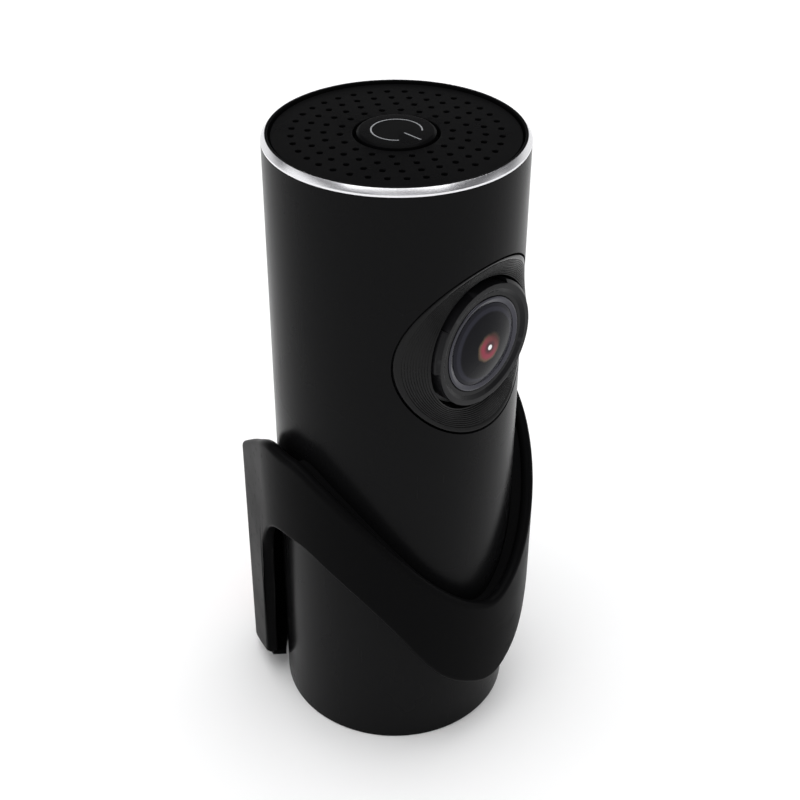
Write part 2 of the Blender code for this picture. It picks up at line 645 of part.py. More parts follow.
def leg_front_azimuth():
    """Azimuth at which the cheek's outside crosses the plane of the leg's front edge."""
    low, high = 100.0, 140.0
    for _ in range(40):
        middle = (low + high) / 2
        if wall_point(middle, 0)[1] < LEG_FRONT_Y:
            low = middle
        else:
            high = middle
    return low


def edge_columns():
    """Pairs of (azimuth, height) on the lower and the top edge, from the lens side to the back."""
    leg = leg_front_azimuth()
    foot = tongue_height(wall_point(leg, 0)[0])
    columns = []
    front_steps = COLUMN_COUNT * 4 // 9
    for step in range(front_steps):
        azimuth = ARCH_TOP_AZIMUTH * step / front_steps
        columns.append((azimuth, smooth_value(LOWER_EDGE, min(azimuth, 92)) * MM, azimuth))
    arch_steps = COLUMN_COUNT * 2 // 9
    for step in range(arch_steps):
        turn = math.pi / 2 * step / arch_steps
        azimuth = ARCH_TOP_AZIMUTH + (leg - ARCH_TOP_AZIMUTH) * math.sin(turn)
        height = ARCH_FOOT_Z + (ARCH_TOP_Z - ARCH_FOOT_Z) * math.cos(turn)
        columns.append((azimuth, height, ARCH_TOP_AZIMUTH + 15 * step / arch_steps))
    leg_steps = COLUMN_COUNT // 9
    for step in range(leg_steps):
        height = ARCH_FOOT_Z + (foot - ARCH_FOOT_Z) * step / leg_steps
        columns.append((leg + 0.4 * step / leg_steps, height, ARCH_TOP_AZIMUTH + 15 + 15 * step / leg_steps))
    back_steps = COLUMN_COUNT * 2 // 9
    for step in range(back_steps + 1):
        share = step / back_steps
        azimuth = leg + 0.4 + (180 - leg - 0.4) * share
        height = tongue_height(wall_point(azimuth, 0)[0])
        top_start = ARCH_TOP_AZIMUTH + 30
        columns.append((azimuth, height, top_start + (180 - top_start) * share))
    return columns


def wall_loop(lower, low_z, upper, side, insets, drop):
    """Closed section of the wall along one column, up the outside and down the inside."""
    high_z = smooth_value(TOP_EDGE, upper) * MM
    outside, crest, inside = insets
    rows = ((0.0, outside), (0.35, outside), (0.7, outside), (1.0, outside))
    loop = []
    for share, inset in rows + tuple((share, inside) for share, _ in reversed(rows)):
        if inset == inside and share == 1.0:
            x, y = wall_point(side * upper, crest)
            loop.append((x, y, high_z))
        azimuth = lower + (upper - lower) * share
        z = low_z + (high_z - drop - low_z) * share
        x, y = wall_point(side * azimuth, inset)
        loop.append((x, y, z))
    return loop


def wall_mesh():
    columns = edge_columns()
    insets = (0.0, BAND_WALL / 2, BAND_WALL)
    loops = []
    for lower, low_z, upper in columns:
        loops.append(wall_loop(lower, low_z, upper, 1, insets, 0.7 * MM))
    for lower, low_z, upper in reversed(columns[1:-1]):
        loops.append(wall_loop(lower, low_z, upper, -1, insets, 0.7 * MM))
    return loft_mesh(loops)


def floor_mesh():
    """Crescent that closes the bottom of the hollow leg, between the back wall and the body."""
    inner_start = 180 - math.degrees(math.acos(LEG_FRONT_Y / FLOOR_RADIUS))
    wall_start = leg_front_azimuth() + 0.5
    steps = 24
    loops = []
    for step in range(steps + 1):
        share = step / steps
        inner_azimuth = inner_start + (360 - 2 * inner_start) * share
        outer_azimuth = wall_start + (360 - 2 * wall_start) * share
        if outer_azimuth > 180:
            outer_azimuth -= 360
        outer = wall_point(outer_azimuth, BAND_WALL / 2)
        angle = math.radians(inner_azimuth)
        inner = (FLOOR_RADIUS * math.sin(angle), -FLOOR_RADIUS * math.cos(angle))
        loop = []
        for rise, pair in ((FLOOR_LIFT, (outer, inner)), (FLOOR_LIFT + FLOOR_THICKNESS, (inner, outer))):
            loop.extend((x, y, tongue_height(x) + rise) for x, y in pair)
        loops.append(loop)
    return loft_mesh(loops, closed=False)


def build_bracket(material, parent):
    bracket = add_object("sling_bracket", wall_mesh(), material, parent)
    use_as_tool(bracket, add_object("floor_tool", floor_mesh(), material, parent), "UNION")


def build_grip_liner(material, parent):
    """Rubber strip between the band and the body, set back from both edges of the band."""
    reach = 92
    steps = 36
    margin = 1.2 * MM
    inner = BODY_RADIUS + GAP
    outer = BAND_RADIUS - BAND_WALL - GAP
    loops = []
    for step in range(steps + 1):
        azimuth = -reach + 2 * reach * step / steps
        angle = math.radians(azimuth)
        low = smooth_value(LOWER_EDGE, abs(azimuth)) * MM + margin
        high = smooth_value(TOP_EDGE, abs(azimuth)) * MM - margin
        loop = []
        for radius, z in ((outer, low), (outer, high), (inner, high), (inner, low)):
            loop.append((radius * math.sin(angle), -radius * math.cos(angle), z))
        loops.append(loop)
    add_object("grip_liner", loft_mesh(loops, closed=False), material, parent)


def build_adhesive_pad(material, parent):
    outline = rounded_outline(PAD_SIZE[0], PAD_SIZE[2], 2.0 * MM)
    pad = prism_mesh(outline, 0, PAD_SIZE[1])
    pad = add_object("adhesive_pad", pad, material, parent, (0, PLATE_BACK + GAP + PAD_SIZE[1], PAD_Z))
    pad.rotation_euler = (math.radians(90), 0, 0)


def make_materials():
    table = {
        "body": ((0.012, 0.012, 0.013), 0.28, 0.0),
        "bracket": ((0.014, 0.014, 0.015), 0.45, 0.0),
        "polymer": ((0.02, 0.02, 0.022), 0.5, 0.0),
        "polymer_gloss": ((0.01, 0.01, 0.012), 0.15, 0.0),
        "chrome": ((0.75, 0.76, 0.78), 0.2, 1.0),
        "steel": ((0.5, 0.51, 0.53), 0.35, 1.0),
        "aluminium": ((0.65, 0.66, 0.68), 0.4, 1.0),
        "anodised": ((0.03, 0.03, 0.035), 0.35, 1.0),
        "copper": ((0.72, 0.38, 0.2), 0.4, 1.0),
        "magnet": ((0.08, 0.08, 0.085), 0.6, 0.4),
        "silicon": ((0.03, 0.035, 0.045), 0.3, 0.0),
        "board": ((0.02, 0.11, 0.05), 0.45, 0.0),
        "rubber": ((0.02, 0.02, 0.02), 0.85, 0.0),
        "paper": ((0.05, 0.045, 0.04), 0.9, 0.0),
        "sleeve": ((0.05, 0.09, 0.25), 0.4, 0.0),
        "clear": ((0.8, 0.85, 0.85), 0.1, 0.0),
        "glass": ((0.12, 0.12, 0.2), 0.05, 0.0),
        "foam": ((0.35, 0.05, 0.05), 0.8, 0.0),
        "cable": ((0.6, 0.35, 0.1), 0.5, 0.0),
    }
    return {name: make_material(name, *values) for name, values in table.items()}


def build_camera(materials, camera, button_slide, card_slide):
    build_housing_tube(materials["body"], camera)
    build_base_cap(materials["polymer"], camera)
    build_top_ring(materials["chrome"], camera)
    build_grille_plate(materials["polymer"], camera)
    build_power_button(materials["polymer_gloss"], button_slide)
    build_button_works(materials, camera)
    build_speaker(materials, camera)
    build_lens_bezel(materials["polymer_gloss"], camera)
    build_bezel_gasket(materials["rubber"], camera)
    build_lens_ring(materials["anodised"], camera)
    build_lens_stack(materials, camera)
    build_lens_holder(materials["polymer"], camera)
    build_sensor(materials, camera)
    build_card_works(materials, camera, card_slide)
    build_rear_board(materials, camera)
    build_main_board(materials, camera)
    build_backup_cell(materials, camera)
    build_ribbon_cable(materials["cable"], camera)
    build_inner_frame(materials["polymer"], camera)
    build_screws(materials["steel"], camera)


def main():
    clear_scene()
    materials = make_materials()
    mount = make_empty("bracket_mount", (0, 0, 0))
    camera = make_empty("camera_swivel", (0, 0, 0), mount)
    button_slide = make_empty("button_slide", (0, 0, PLATE_TOP + BUTTON_RISE), camera)
    card_slide = make_empty("card_slide", (0, CARD_OUTER_END, CARD_Z), camera)
    build_camera(materials, camera, button_slide, card_slide)
    build_bracket(materials["bracket"], mount)
    build_grip_liner(materials["rubber"], mount)
    build_adhesive_pad(materials["foam"], mount)


main()
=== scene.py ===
"""Looks of the cylindrical dash camera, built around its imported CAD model.

Every outer piece is remade here as a finer mesh in the place of its CAD node. The inner pieces
keep their CAD shape or gain detail on top of it. Sizes come from the frame's boxes. Lengths are
in metres, and the lens looks along -Y.
"""

import json
import math

import bmesh
import bpy
import numpy as np
from mathutils import Matrix, Vector


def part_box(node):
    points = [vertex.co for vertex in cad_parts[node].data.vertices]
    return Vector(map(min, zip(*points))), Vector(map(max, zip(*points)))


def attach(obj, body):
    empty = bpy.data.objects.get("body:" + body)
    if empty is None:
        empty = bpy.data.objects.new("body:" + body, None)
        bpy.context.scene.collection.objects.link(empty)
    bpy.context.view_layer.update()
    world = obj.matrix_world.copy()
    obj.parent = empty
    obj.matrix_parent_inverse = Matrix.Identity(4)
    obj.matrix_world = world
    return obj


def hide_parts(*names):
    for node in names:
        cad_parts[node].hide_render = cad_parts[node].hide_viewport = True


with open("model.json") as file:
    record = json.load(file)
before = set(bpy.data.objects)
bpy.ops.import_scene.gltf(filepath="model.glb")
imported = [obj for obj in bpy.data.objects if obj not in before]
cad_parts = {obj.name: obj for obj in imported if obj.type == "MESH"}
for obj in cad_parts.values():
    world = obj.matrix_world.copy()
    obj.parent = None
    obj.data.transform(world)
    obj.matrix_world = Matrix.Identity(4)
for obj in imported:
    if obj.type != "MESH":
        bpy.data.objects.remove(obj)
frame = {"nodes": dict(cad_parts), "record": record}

MM = 0.001
GAP = 0.3 * MM
FACING_LENS = Matrix.Rotation(math.radians(90), 4, "X")
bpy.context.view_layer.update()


def top_of(node):
    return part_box(node)[1]


def heights(node):
    """Lowest and highest height of a node."""
    return tuple(corner.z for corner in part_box(node))


def middle_height(node):
    return sum(heights(node)) / 2


def along_lens(node):
    """Back, front and radius of a node that is round about the lens axis."""
    low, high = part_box(node)
    return -high.y, -low.y, high.x


# Places and sizes read from the frame
BODY_RADIUS = top_of("housing_tube").x
TUBE_TOP = top_of("housing_tube").z
RING_LOW, RING_TOP = heights("top_ring")
PLATE_LOW, PLATE_TOP = heights("grille_plate")
PLATE_RADIUS = top_of("grille_plate").x
REBATE_RADIUS = PLATE_RADIUS + GAP
CAP_THICKNESS = top_of("base_cap").z
BUTTON_LOW, BUTTON_TOP = heights("power_button")
FLANGE_RADIUS = top_of("power_button").x
LENS_Z = middle_height("lens_ring")
LENS_RING_BACK, LENS_RING_FRONT, LENS_RING_RADIUS = along_lens("lens_ring")
BEZEL_BACK, _, BEZEL_RADIUS = along_lens("lens_bezel")
BAND_RADIUS = top_of("sling_bracket").x
PLATE_BACK = top_of("sling_bracket").y
CARD_LOW, CARD_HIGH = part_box("memory_card")
SOCKET_LOW, SOCKET_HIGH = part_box("power_socket")
PAD_LOW, PAD_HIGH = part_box("adhesive_pad")

# Sizes that the boxes don't give
WALL = 1.8 * MM
BORE_RADIUS = BODY_RADIUS - WALL
BUTTON_RADIUS = 5.35 * MM
BUTTON_HOLE_RADIUS = 5.85 * MM
HOLE_RADIUS = 0.43 * MM
HOLE_RINGS = ((36, 14.0 * MM), (30, 11.8 * MM), (24, 9.65 * MM), (18, 7.5 * MM))
BEZEL_INNER_RADIUS = LENS_RING_RADIUS + GAP
BEZEL_INNER_DEPTH = 16.2 * MM
GROOVE_COUNT = 10
BARREL_RADIUS = 6.0 * MM
RECESS_RADIUS = 8.95 * MM
RING_RECESSES = ((64, 146), (184, 266), (304, 386))
DOME_RISE = 1.2 * MM

# The bracket's outline, as its CAD shape has it: heights in mm at azimuths in degrees from the lens.
# FAN is how far the columns of the wall lean apart above the arch and above the leg's front edge.
BAND_WALL = 1.8 * MM
CORNER_RADIUS = 6.0 * MM
CORNER_X = 10.0 * MM
LEG_FRONT_Y = 11.5 * MM
TONGUE_BOTTOM = 2.0 * MM
TONGUE_FLAT = 12.0 * MM
TONGUE_RISE = 95.0
FLOOR_THICKNESS = 1.0 * MM
FLOOR_RADIUS = 18.4 * MM
TOP_EDGE = ((0, 26.8), (12, 28.6), (27, 33.2), (44, 39.9), (60, 46.0), (75, 50.4), (90, 52.9),
            (103, 52.9), (123, 49.3), (140, 44.5), (157, 38.0), (168, 34.6), (180, 33.6))
LOWER_EDGE = ((0, 10.5), (14, 12.4), (25, 15.4), (35, 20.0), (46, 26.0), (60, 31.9), (76, 36.6),
              (84, 38.2), (92, 38.5))
ARCH_TOP_AZIMUTH = 95.0
ARCH_TOP_Z = 38.5 * MM
ARCH_FOOT_Z = 23.0 * MM
FAN = 15
CORNER_TURN = 0.4

SLOTS = {row["node"]: row["material_slot"] for row in frame["record"]["subparts"]}
MATERIALS = {}


# ---------------------------------------------------------------- materials

class Surface:
    """A Principled material with short calls that add to its node tree."""

    def __init__(self, name, colour, roughness, metallic=0.0, **sockets):
        self.material = bpy.data.materials.new(name)
        self.material.use_nodes = True
        self.tree = self.material.node_tree
        self.shader = self.tree.nodes["Principled BSDF"]
        self.set("Base Color", (*colour, 1.0))
        self.set("Roughness", roughness)
        self.set("Metallic", metallic)
        for socket, value in sockets.items():
            self.set(socket.replace("_", " "), value)
        self.colour = colour
        self.roughness = roughness
        self.place = self.node("ShaderNodeTexCoord").outputs["Object"]
        self.height = None

    def set(self, socket, value):
        self.shader.inputs[socket].default_value = value

    def node(self, kind, **inputs):
        made = self.tree.nodes.new(kind)
        for name, value in inputs.items():
            self.feed(made.inputs[name.replace("_", " ")], value)
        return made

    def feed(self, socket, value):
        if isinstance(value, bpy.types.NodeSocket):
            self.tree.links.new(value, socket)
        else:
            socket.default_value = value

    def math(self, operation, *values):
        made = self.tree.nodes.new("ShaderNodeMath")
        made.operation = operation
        for socket, value in zip(made.inputs, values):
            self.feed(socket, value)
        return made.outputs[0]

    def span(self, value, low, high, new_low, new_high):
        """Carry a value from one range to another, and hold it inside the new one."""
        made = self.node("ShaderNodeMapRange")
        for socket, number in zip(made.inputs, (value, low, high, new_low, new_high)):
            self.feed(socket, number)
        return made.outputs["Result"]

    def noise(self, scale, detail=2.0, stretch=(1, 1, 1), roughness=0.5, place=None):
        mapping = self.node("ShaderNodeMapping", Vector=place or self.place, Scale=stretch)
        made = self.node("ShaderNodeTexNoise", Vector=mapping.outputs[0], Scale=scale,
                         Detail=detail, Roughness=roughness)
        return made.outputs["Fac"]

    def cells(self, scale, output="Distance"):
        return self.node("ShaderNodeTexVoronoi", Vector=self.place, Scale=scale).outputs[output]

    def mix(self, share, first, second):
        made = self.tree.nodes.new("ShaderNodeMix")
        made.data_type = "RGBA"
        self.feed(made.inputs["Factor"], share)
        self.feed(made.inputs["A"], first)
        self.feed(made.inputs["B"], second)
        return made.outputs["Result"]

    def paint(self, share, colour):
        """Mix another colour over the base colour where share is 1."""
        base = self.shader.inputs["Base Color"]
        below = base.links[0].from_socket if base.links else (*self.colour, 1.0)
        self.feed(base, self.mix(share, below, (*colour, 1.0)))

    def vary_roughness(self, share, change):
        """Add change to the roughness where share is 1."""
        socket = self.shader.inputs["Roughness"]
        below = socket.links[0].from_socket if socket.links else self.roughness
        self.feed(socket, self.math("MULTIPLY_ADD", share, change, below))

    def raise_by(self, share, distance):
        """Bump the surface up by distance where share is 1."""
        bump = self.node("ShaderNodeBump", Height=share, Distance=distance, Strength=1.0)
        if self.height is not None:
            self.feed(bump.inputs["Normal"], self.height)
        self.height = bump.outputs["Normal"]
        self.feed(self.shader.inputs["Normal"], self.height)

    def stripes(self, scale, low, high):
        """Parallel lines: 1 on a line and 0 beside it."""
        wave = self.node("ShaderNodeTexWave", Vector=self.place, Scale=scale)
        return self.span(wave.outputs["Fac"], low, high, 0.0, 1.0)

    def printed(self, share, colour, distance):
        """Raised marks of another colour where share is 1."""
        self.paint(share, colour)
        self.raise_by(share, distance)

    # The finishes below return the surface, so that they can be chained

    def smudges(self, scale, spread):
        """Broad, soft changes of roughness, as handling leaves them."""
        cloud = self.span(self.noise(scale, 3.0), 0.35, 0.65, -0.5, 0.5)
        self.vary_roughness(cloud, spread)
        return self

    def scratches(self, scale, amount, stretch=(1, 1, 0.04)):
        """Sparse hairlines that are a little rougher than what they cross."""
        line = self.span(self.noise(scale, 1.0, stretch), 0.66, 0.72, 0.0, 1.0)
        self.vary_roughness(line, amount)
        return self

    def dust(self, scale, amount):
        """Tiny pale specks."""
        speck = self.span(self.cells(scale), 0.02, 0.06, amount, 0.0)
        sparse = self.span(self.noise(scale * 0.21, 1.0), 0.60, 0.66, 0.0, 1.0)
        self.paint(self.math("MULTIPLY", speck, sparse), (0.35, 0.34, 0.32))
        return self

    def worn_edges(self, amount, colour, low, high):
        """Paler along convex edges."""
        geometry = self.node("ShaderNodeNewGeometry")
        edge = self.span(geometry.outputs["Pointiness"], low, high, 0.0, amount)
        broken = self.math("MULTIPLY", edge, self.span(self.noise(900.0), 0.3, 0.6, 0.3, 1.0))
        self.paint(broken, colour)
        return self

    def grain(self, scale, detail, distance, stretch=(1, 1, 1)):
        """Fine bumps all over."""
        self.raise_by(self.noise(scale, detail, stretch), distance)
        return self

    def uneven(self, scale, change):
        """Fine changes of roughness."""
        self.vary_roughness(self.span(self.noise(scale), 0.3, 0.7, -0.5, 0.5), change)
        return self

    def drawn(self, scale, stretch, distance, change):
        """Fine lines along one direction, in height and in roughness."""
        lines = self.noise(scale, 3.0, stretch)
        self.raise_by(lines, distance)
        self.vary_roughness(self.span(lines, 0.3, 0.7, -0.5, 0.5), change)
        return self

    def mottled(self, scale, detail, low, high, share, colour):
        """Soft patches of another colour, where the noise passes from low to high."""
        self.paint(self.span(self.noise(scale, detail), low, high, 0.0, share), colour)
        return self

    def pitted(self, scale, low, high, share, colour):
        """Specks of another colour in the middle of small cells."""
        self.paint(self.span(self.cells(scale), low, high, share, 0.0), colour)
        return self

    def length(self, x, y):
        squares = self.math("ADD", self.math("MULTIPLY", x, x), self.math("MULTIPLY", y, y))
        return self.math("SQRT", squares)

    def around(self):
        """Coordinates that run round the Z axis: turn, radius and height."""
        x, y, z = self.node("ShaderNodeSeparateXYZ", Vector=self.place).outputs
        radius = self.length(x, y)
        turn = self.math("ARCTAN2", y, x)
        wound = self.node("ShaderNodeCombineXYZ", X=self.math("MULTIPLY", turn, 0.0005), Y=radius, Z=z)
        return wound.outputs[0]


def cut_silver():
    """Aluminium with the fine turning marks of a diamond tool round it."""
    made = Surface("cut_silver", (0.78, 0.78, 0.8), 0.24, 1.0)
    marks = made.noise(5200.0, 2.0, (1, 1, 1), 0.6, made.around())
    made.raise_by(marks, 0.0000004)
    made.vary_roughness(made.span(marks, 0.3, 0.7, -0.5, 0.5), 0.03)
    return made.smudges(180.0, 0.04).mottled(260.0, 3.0, 0.5, 0.75, 0.15, (0.6, 0.6, 0.62))


def solder_mask():
    """Green circuit board with tracks and small plated holes under the mask."""
    made = Surface("solder_mask", (0.012, 0.085, 0.035), 0.32, 0.0, Coat_Weight=0.4)
    cell = made.cells(420.0, "Color")
    lane = made.node("ShaderNodeSeparateColor", Color=cell).outputs[0]
    lane = made.span(lane, 0.4, 0.45, 0.0, 1.0)
    track = made.math("MULTIPLY", made.stripes(620.0, 0.55, 0.62), lane)
    made.printed(track, (0.03, 0.16, 0.06), 0.00003)
    return made.pitted(700.0, 0.10, 0.14, 1.0, (0.6, 0.5, 0.25)).smudges(200.0, 0.15)


def cone_paper():
    made = Surface("cone_paper", (0.05, 0.046, 0.042), 0.9)
    fibre = made.noise(2400.0, 5.0, (1, 1, 1), 0.7)
    made.raise_by(fibre, 0.00003)
    made.paint(made.span(fibre, 0.45, 0.7, 0.0, 0.6), (0.11, 0.1, 0.09))
    return made


def clear_plastic():
    made = Surface("clear_plastic", (0.86, 0.9, 0.9), 0.16, 0.0, Transmission_Weight=0.7, IOR=1.49)
    made.vary_roughness(made.span(made.noise(700.0), 0.4, 0.7, 0.0, 1.0), 0.12)
    return made.grain(1800.0, 3.0, 0.000008)


def coated_glass():
    """Clear glass of the elements inside the barrel, with a blue-violet coating."""
    made = Surface("coated_glass", (0.012, 0.012, 0.022), 0.04, 0.0, Alpha=0.14, IOR=1.5,
                   Specular_Tint=(0.8, 0.8, 1.0, 1.0))
    made.vary_roughness(made.span(made.noise(500.0, 3.0), 0.5, 0.75, 0.0, 1.0), 0.03)
    return made.grain(300.0, 2.0, 0.000001)


def acrylic_foam():
    made = Surface("acrylic_foam", (0.03, 0.03, 0.032), 0.85)
    made.raise_by(made.cells(2600.0), 0.00005)
    return made.pitted(2600.0, 0.1, 0.5, 0.5, (0.012, 0.012, 0.013)).smudges(300.0, 0.15)


def polyimide_film():
    made = Surface("polyimide_film", (0.42, 0.2, 0.04), 0.35, 0.0, Coat_Weight=0.5)
    made.printed(made.stripes(900.0, 0.5, 0.6), (0.5, 0.28, 0.08), 0.00002)
    return made.smudges(260.0, 0.12)


def lens_coating_painted_light():
    """Near black glass of the dome, painted with light: paler bluish rings as a painted reflection
    towards its edge, a red and amber coating reflection painted round the middle and stronger on one
    side, and a painted white glint at the centre.
    """
    made = Surface("lens_coating_painted_light", (0.006, 0.006, 0.0078), 0.16, 0.0, Coat_Weight=0.04,
                   Coat_Roughness=0.04, Specular_IOR_Level=0.05)
    x, _, z = made.node("ShaderNodeSeparateXYZ", Vector=made.place).outputs
    lift = made.math("SUBTRACT", z, LENS_Z)
    radius = made.length(x, lift)
    cloud = made.math("MULTIPLY_ADD", made.noise(900.0, 2.0), 0.5 * MM, radius)
    # Painted reflection: the coating's red and amber reflection is made stronger towards one side of the
    # pupil, as the light falls
    aside = made.span(made.math("ADD", x, lift), -0.6 * MM, 2.2 * MM, 1.0, 0.25)
    # Painted reflection: paler bluish rings towards the edge of the glass stand in for the light it
    # throws back there
    rim_reflection = made.span(radius, 4.85 * MM, 5.1 * MM, 0.0, 1.0)
    edge_reflection = made.span(radius, 5.5 * MM, 5.65 * MM, 0.0, 1.0)
    # Painted reflection of the coating: an amber ring and a pink disc round the pupil
    amber_reflection = made.math("MULTIPLY", made.span(cloud, 2.2 * MM, 2.6 * MM, 0.9, 0.0), aside)
    pink_reflection = made.math("MULTIPLY", made.span(cloud, 1.8 * MM, 2.3 * MM, 1.0, 0.0), aside)
    pupil = made.span(cloud, 0.9 * MM, 1.4 * MM, 0.85, 0.0)
    # Painted highlight: a white glint painted at the centre of the lens, not lit by any lamp
    painted_glint = made.span(radius, 0.34 * MM, 0.44 * MM, 1.0, 0.0)
    for share, colour in ((rim_reflection, (0.024, 0.024, 0.033)), (edge_reflection, (0.013, 0.013, 0.018)),
                          (amber_reflection, (0.14, 0.095, 0.06)), (pink_reflection, (0.26, 0.045, 0.068)),
                          (pupil, (0.06, 0.035, 0.04)), (painted_glint, (0.95, 0.95, 0.95))):
        made.paint(share, colour)
    return made.smudges(420.0, 0.08)


def outer_finishes():
    """Finishes of the pieces that show from outside."""
    return {
        "body": Surface("body_lacquer", (0.0045, 0.0045, 0.0048), 0.26, Specular_IOR_Level=0.05)
        .smudges(70.0, 0.07).scratches(900.0, 0.02).grain(1500.0, 2.0, 0.0000025).dust(900.0, 0.08),
        "bracket": Surface("bracket_plastic", (0.0032, 0.0032, 0.0034), 0.36, Specular_IOR_Level=0.015)
        .smudges(90.0, 0.08).grain(4200.0, 3.0, 0.000004).scratches(800.0, 0.06, (0.06, 1, 1))
        .worn_edges(0.25, (0.02, 0.02, 0.021), 0.52, 0.60).dust(800.0, 0.06),
        "polymer": Surface("fine_plastic", (0.0030, 0.0030, 0.0032), 0.32, Specular_IOR_Level=0.012)
        .smudges(150.0, 0.10).grain(5200.0, 3.0, 0.000006).dust(1100.0, 0.1),
        "polymer_gloss": Surface("gloss_plastic", (0.0045, 0.0045, 0.0047), 0.22,
                                 Specular_IOR_Level=0.14)
        .smudges(220.0, 0.10).scratches(1500.0, 0.06).grain(2600.0, 2.0, 0.000002).dust(1200.0, 0.08),
        "button": Surface("button_plastic", (0.0033, 0.0033, 0.0035), 0.3, Specular_IOR_Level=0.015)
        .smudges(260.0, 0.10).scratches(1300.0, 0.06).grain(3600.0, 3.0, 0.000003).dust(1200.0, 0.06),
        "icon": Surface("icon_silver", (0.5, 0.51, 0.53), 0.38, 0.8)
        .uneven(2600.0, 0.15).grain(4200.0, 2.0, 0.000004)
        .mottled(1500.0, 2.0, 0.5, 0.75, 0.3, (0.42, 0.43, 0.45)),
        "chrome": cut_silver(),
        "anodised": Surface("black_anodised", (0.007, 0.007, 0.0078), 0.32, 0.0, Specular_IOR_Level=0.12)
        .smudges(260.0, 0.10).grain(3800.0, 3.0, 0.000004)
        .worn_edges(0.25, (0.05, 0.05, 0.055), 0.53, 0.62).dust(1300.0, 0.08),
        "retainer": Surface("satin_metal", (0.05, 0.05, 0.06), 0.2, 0.9)
        .uneven(2200.0, 0.08).grain(4200.0, 2.0, 0.0000015)
        .mottled(700.0, 3.0, 0.5, 0.75, 0.3, (0.035, 0.035, 0.04)),
        # Dark lens glass whose colour holds painted reflections and a painted white glint
        "coating": lens_coating_painted_light(),
        "clear": clear_plastic(),
        "rubber": Surface("moulded_rubber", (0.0035, 0.0035, 0.0037), 0.7, Specular_IOR_Level=0.03)
        .grain(2600.0, 4.0, 0.00002).smudges(160.0, 0.2).dust(1000.0, 0.5),
        "foam": acrylic_foam(),
        "liner": Surface("release_liner", (0.2, 0.008, 0.007), 0.3, 0.0, Coat_Weight=0.3)
        .grain(160.0, 3.0, 0.00008).smudges(200.0, 0.15)
        .mottled(240.0, 3.0, 0.5, 0.8, 0.5, (0.27, 0.016, 0.013)),
        "label": Surface("card_label", (0.05, 0.05, 0.055), 0.4)
        .grain(2000.0, 3.0, 0.00001).smudges(300.0, 0.15)
        .mottled(400.0, 3.0, 0.5, 0.8, 0.4, (0.1, 0.1, 0.11)),
    }


def inner_finishes():
    """Finishes of the metal, glass and electronics inside."""
    return {
        "steel": Surface("pressed_steel", (0.5, 0.5, 0.5), 0.3, 1.0)
        .drawn(1200.0, (1, 12, 12), 0.000006, 0.2).smudges(200.0, 0.15)
        .mottled(420.0, 4.0, 0.55, 0.8, 0.5, (0.32, 0.31, 0.3)),
        "aluminium": Surface("extruded_aluminium", (0.62, 0.63, 0.64), 0.36, 1.0)
        .drawn(900.0, (14, 14, 1), 0.000008, 0.2)
        .mottled(300.0, 3.0, 0.5, 0.8, 0.4, (0.45, 0.46, 0.47)),
        "copper": Surface("bare_copper", (0.72, 0.36, 0.2), 0.35, 1.0)
        .smudges(160.0, 0.25).grain(2200.0, 3.0, 0.000006)
        .mottled(350.0, 4.0, 0.5, 0.75, 0.7, (0.38, 0.2, 0.13)),
        "gold": Surface("gold_contact", (0.83, 0.6, 0.24), 0.25, 1.0)
        .smudges(500.0, 0.2).grain(3000.0, 2.0, 0.000004)
        .mottled(900.0, 2.0, 0.5, 0.8, 0.4, (0.55, 0.4, 0.2)),
        "magnet": Surface("sintered_ferrite", (0.05, 0.05, 0.053), 0.6, 0.3)
        .grain(3000.0, 5.0, 0.00003).smudges(300.0, 0.2)
        .pitted(2500.0, 0.05, 0.3, 0.5, (0.14, 0.14, 0.145)),
        "silicon": Surface("chip_package", (0.02, 0.021, 0.024), 0.45)
        .grain(4000.0, 4.0, 0.000012).smudges(400.0, 0.2)
        .mottled(900.0, 3.0, 0.5, 0.8, 0.4, (0.06, 0.06, 0.065)),
        "sleeve": Surface("shrink_sleeve", (0.035, 0.07, 0.22), 0.3, 0.0, Coat_Weight=0.3)
        .grain(260.0, 3.0, 0.00012, (1, 1, 0.25)).smudges(220.0, 0.15)
        .mottled(500.0, 3.0, 0.5, 0.8, 0.35, (0.08, 0.13, 0.32)),
        "board": solder_mask(),
        "paper": cone_paper(),
        "glass": coated_glass(),
        "cable": polyimide_film(),
    }


def make_materials():
    for slot, surface in (outer_finishes() | inner_finishes()).items():
        MATERIALS[slot] = surface.material
    for name, item in frame["nodes"].items():
        item.data.materials.clear()
        item.data.materials.append(MATERIALS[SLOTS[name]])


# ---------------------------------------------------------------- mesh helpers

def shares(count):
    """As many equal steps, from 0 up to but not including 1."""
    return [step / count for step in range(count)]


def arc_points(centre, radius, start, end, steps):
    """Points (x, y) on an arc from start to end, in degrees."""
    points = []
    for share in (*shares(steps), 1.0):
        angle = math.radians(start + (end - start) * share)
        points.append((centre[0] + radius * math.cos(angle), centre[1] + radius * math.sin(angle)))
    return points


def filleted(points, steps=4, closed=True):
    """Round the corners of a profile. A point is (x, y) or (x, y, fillet radius)."""
    made = []
    count = len(points)
    for index, point in enumerate(points):
        here = Vector(point[:2])
        radius = point[2] if len(point) > 2 else 0.0
        if radius == 0.0 or (not closed and index in (0, count - 1)):
            made.append(tuple(here))
            continue
        before = Vector(points[index - 1][:2]) - here
        after = Vector(points[(index + 1) % count][:2]) - here
        before.normalize()
        after.normalize()
        half = math.acos(max(-1.0, min(1.0, before.dot(after)))) / 2
        reach = radius / math.tan(half)
        start = here + before * reach
        centre = here + (before + after).normalized() * (radius / math.sin(half))
        first = start - centre
        sweep = (math.pi - 2 * half) / steps
        if before.x * after.y - before.y * after.x > 0:
            sweep = -sweep
        for step in range(steps + 1):
            turned = Matrix.Rotation(sweep * step, 2) @ first
            made.append(tuple(centre + turned))
    return made


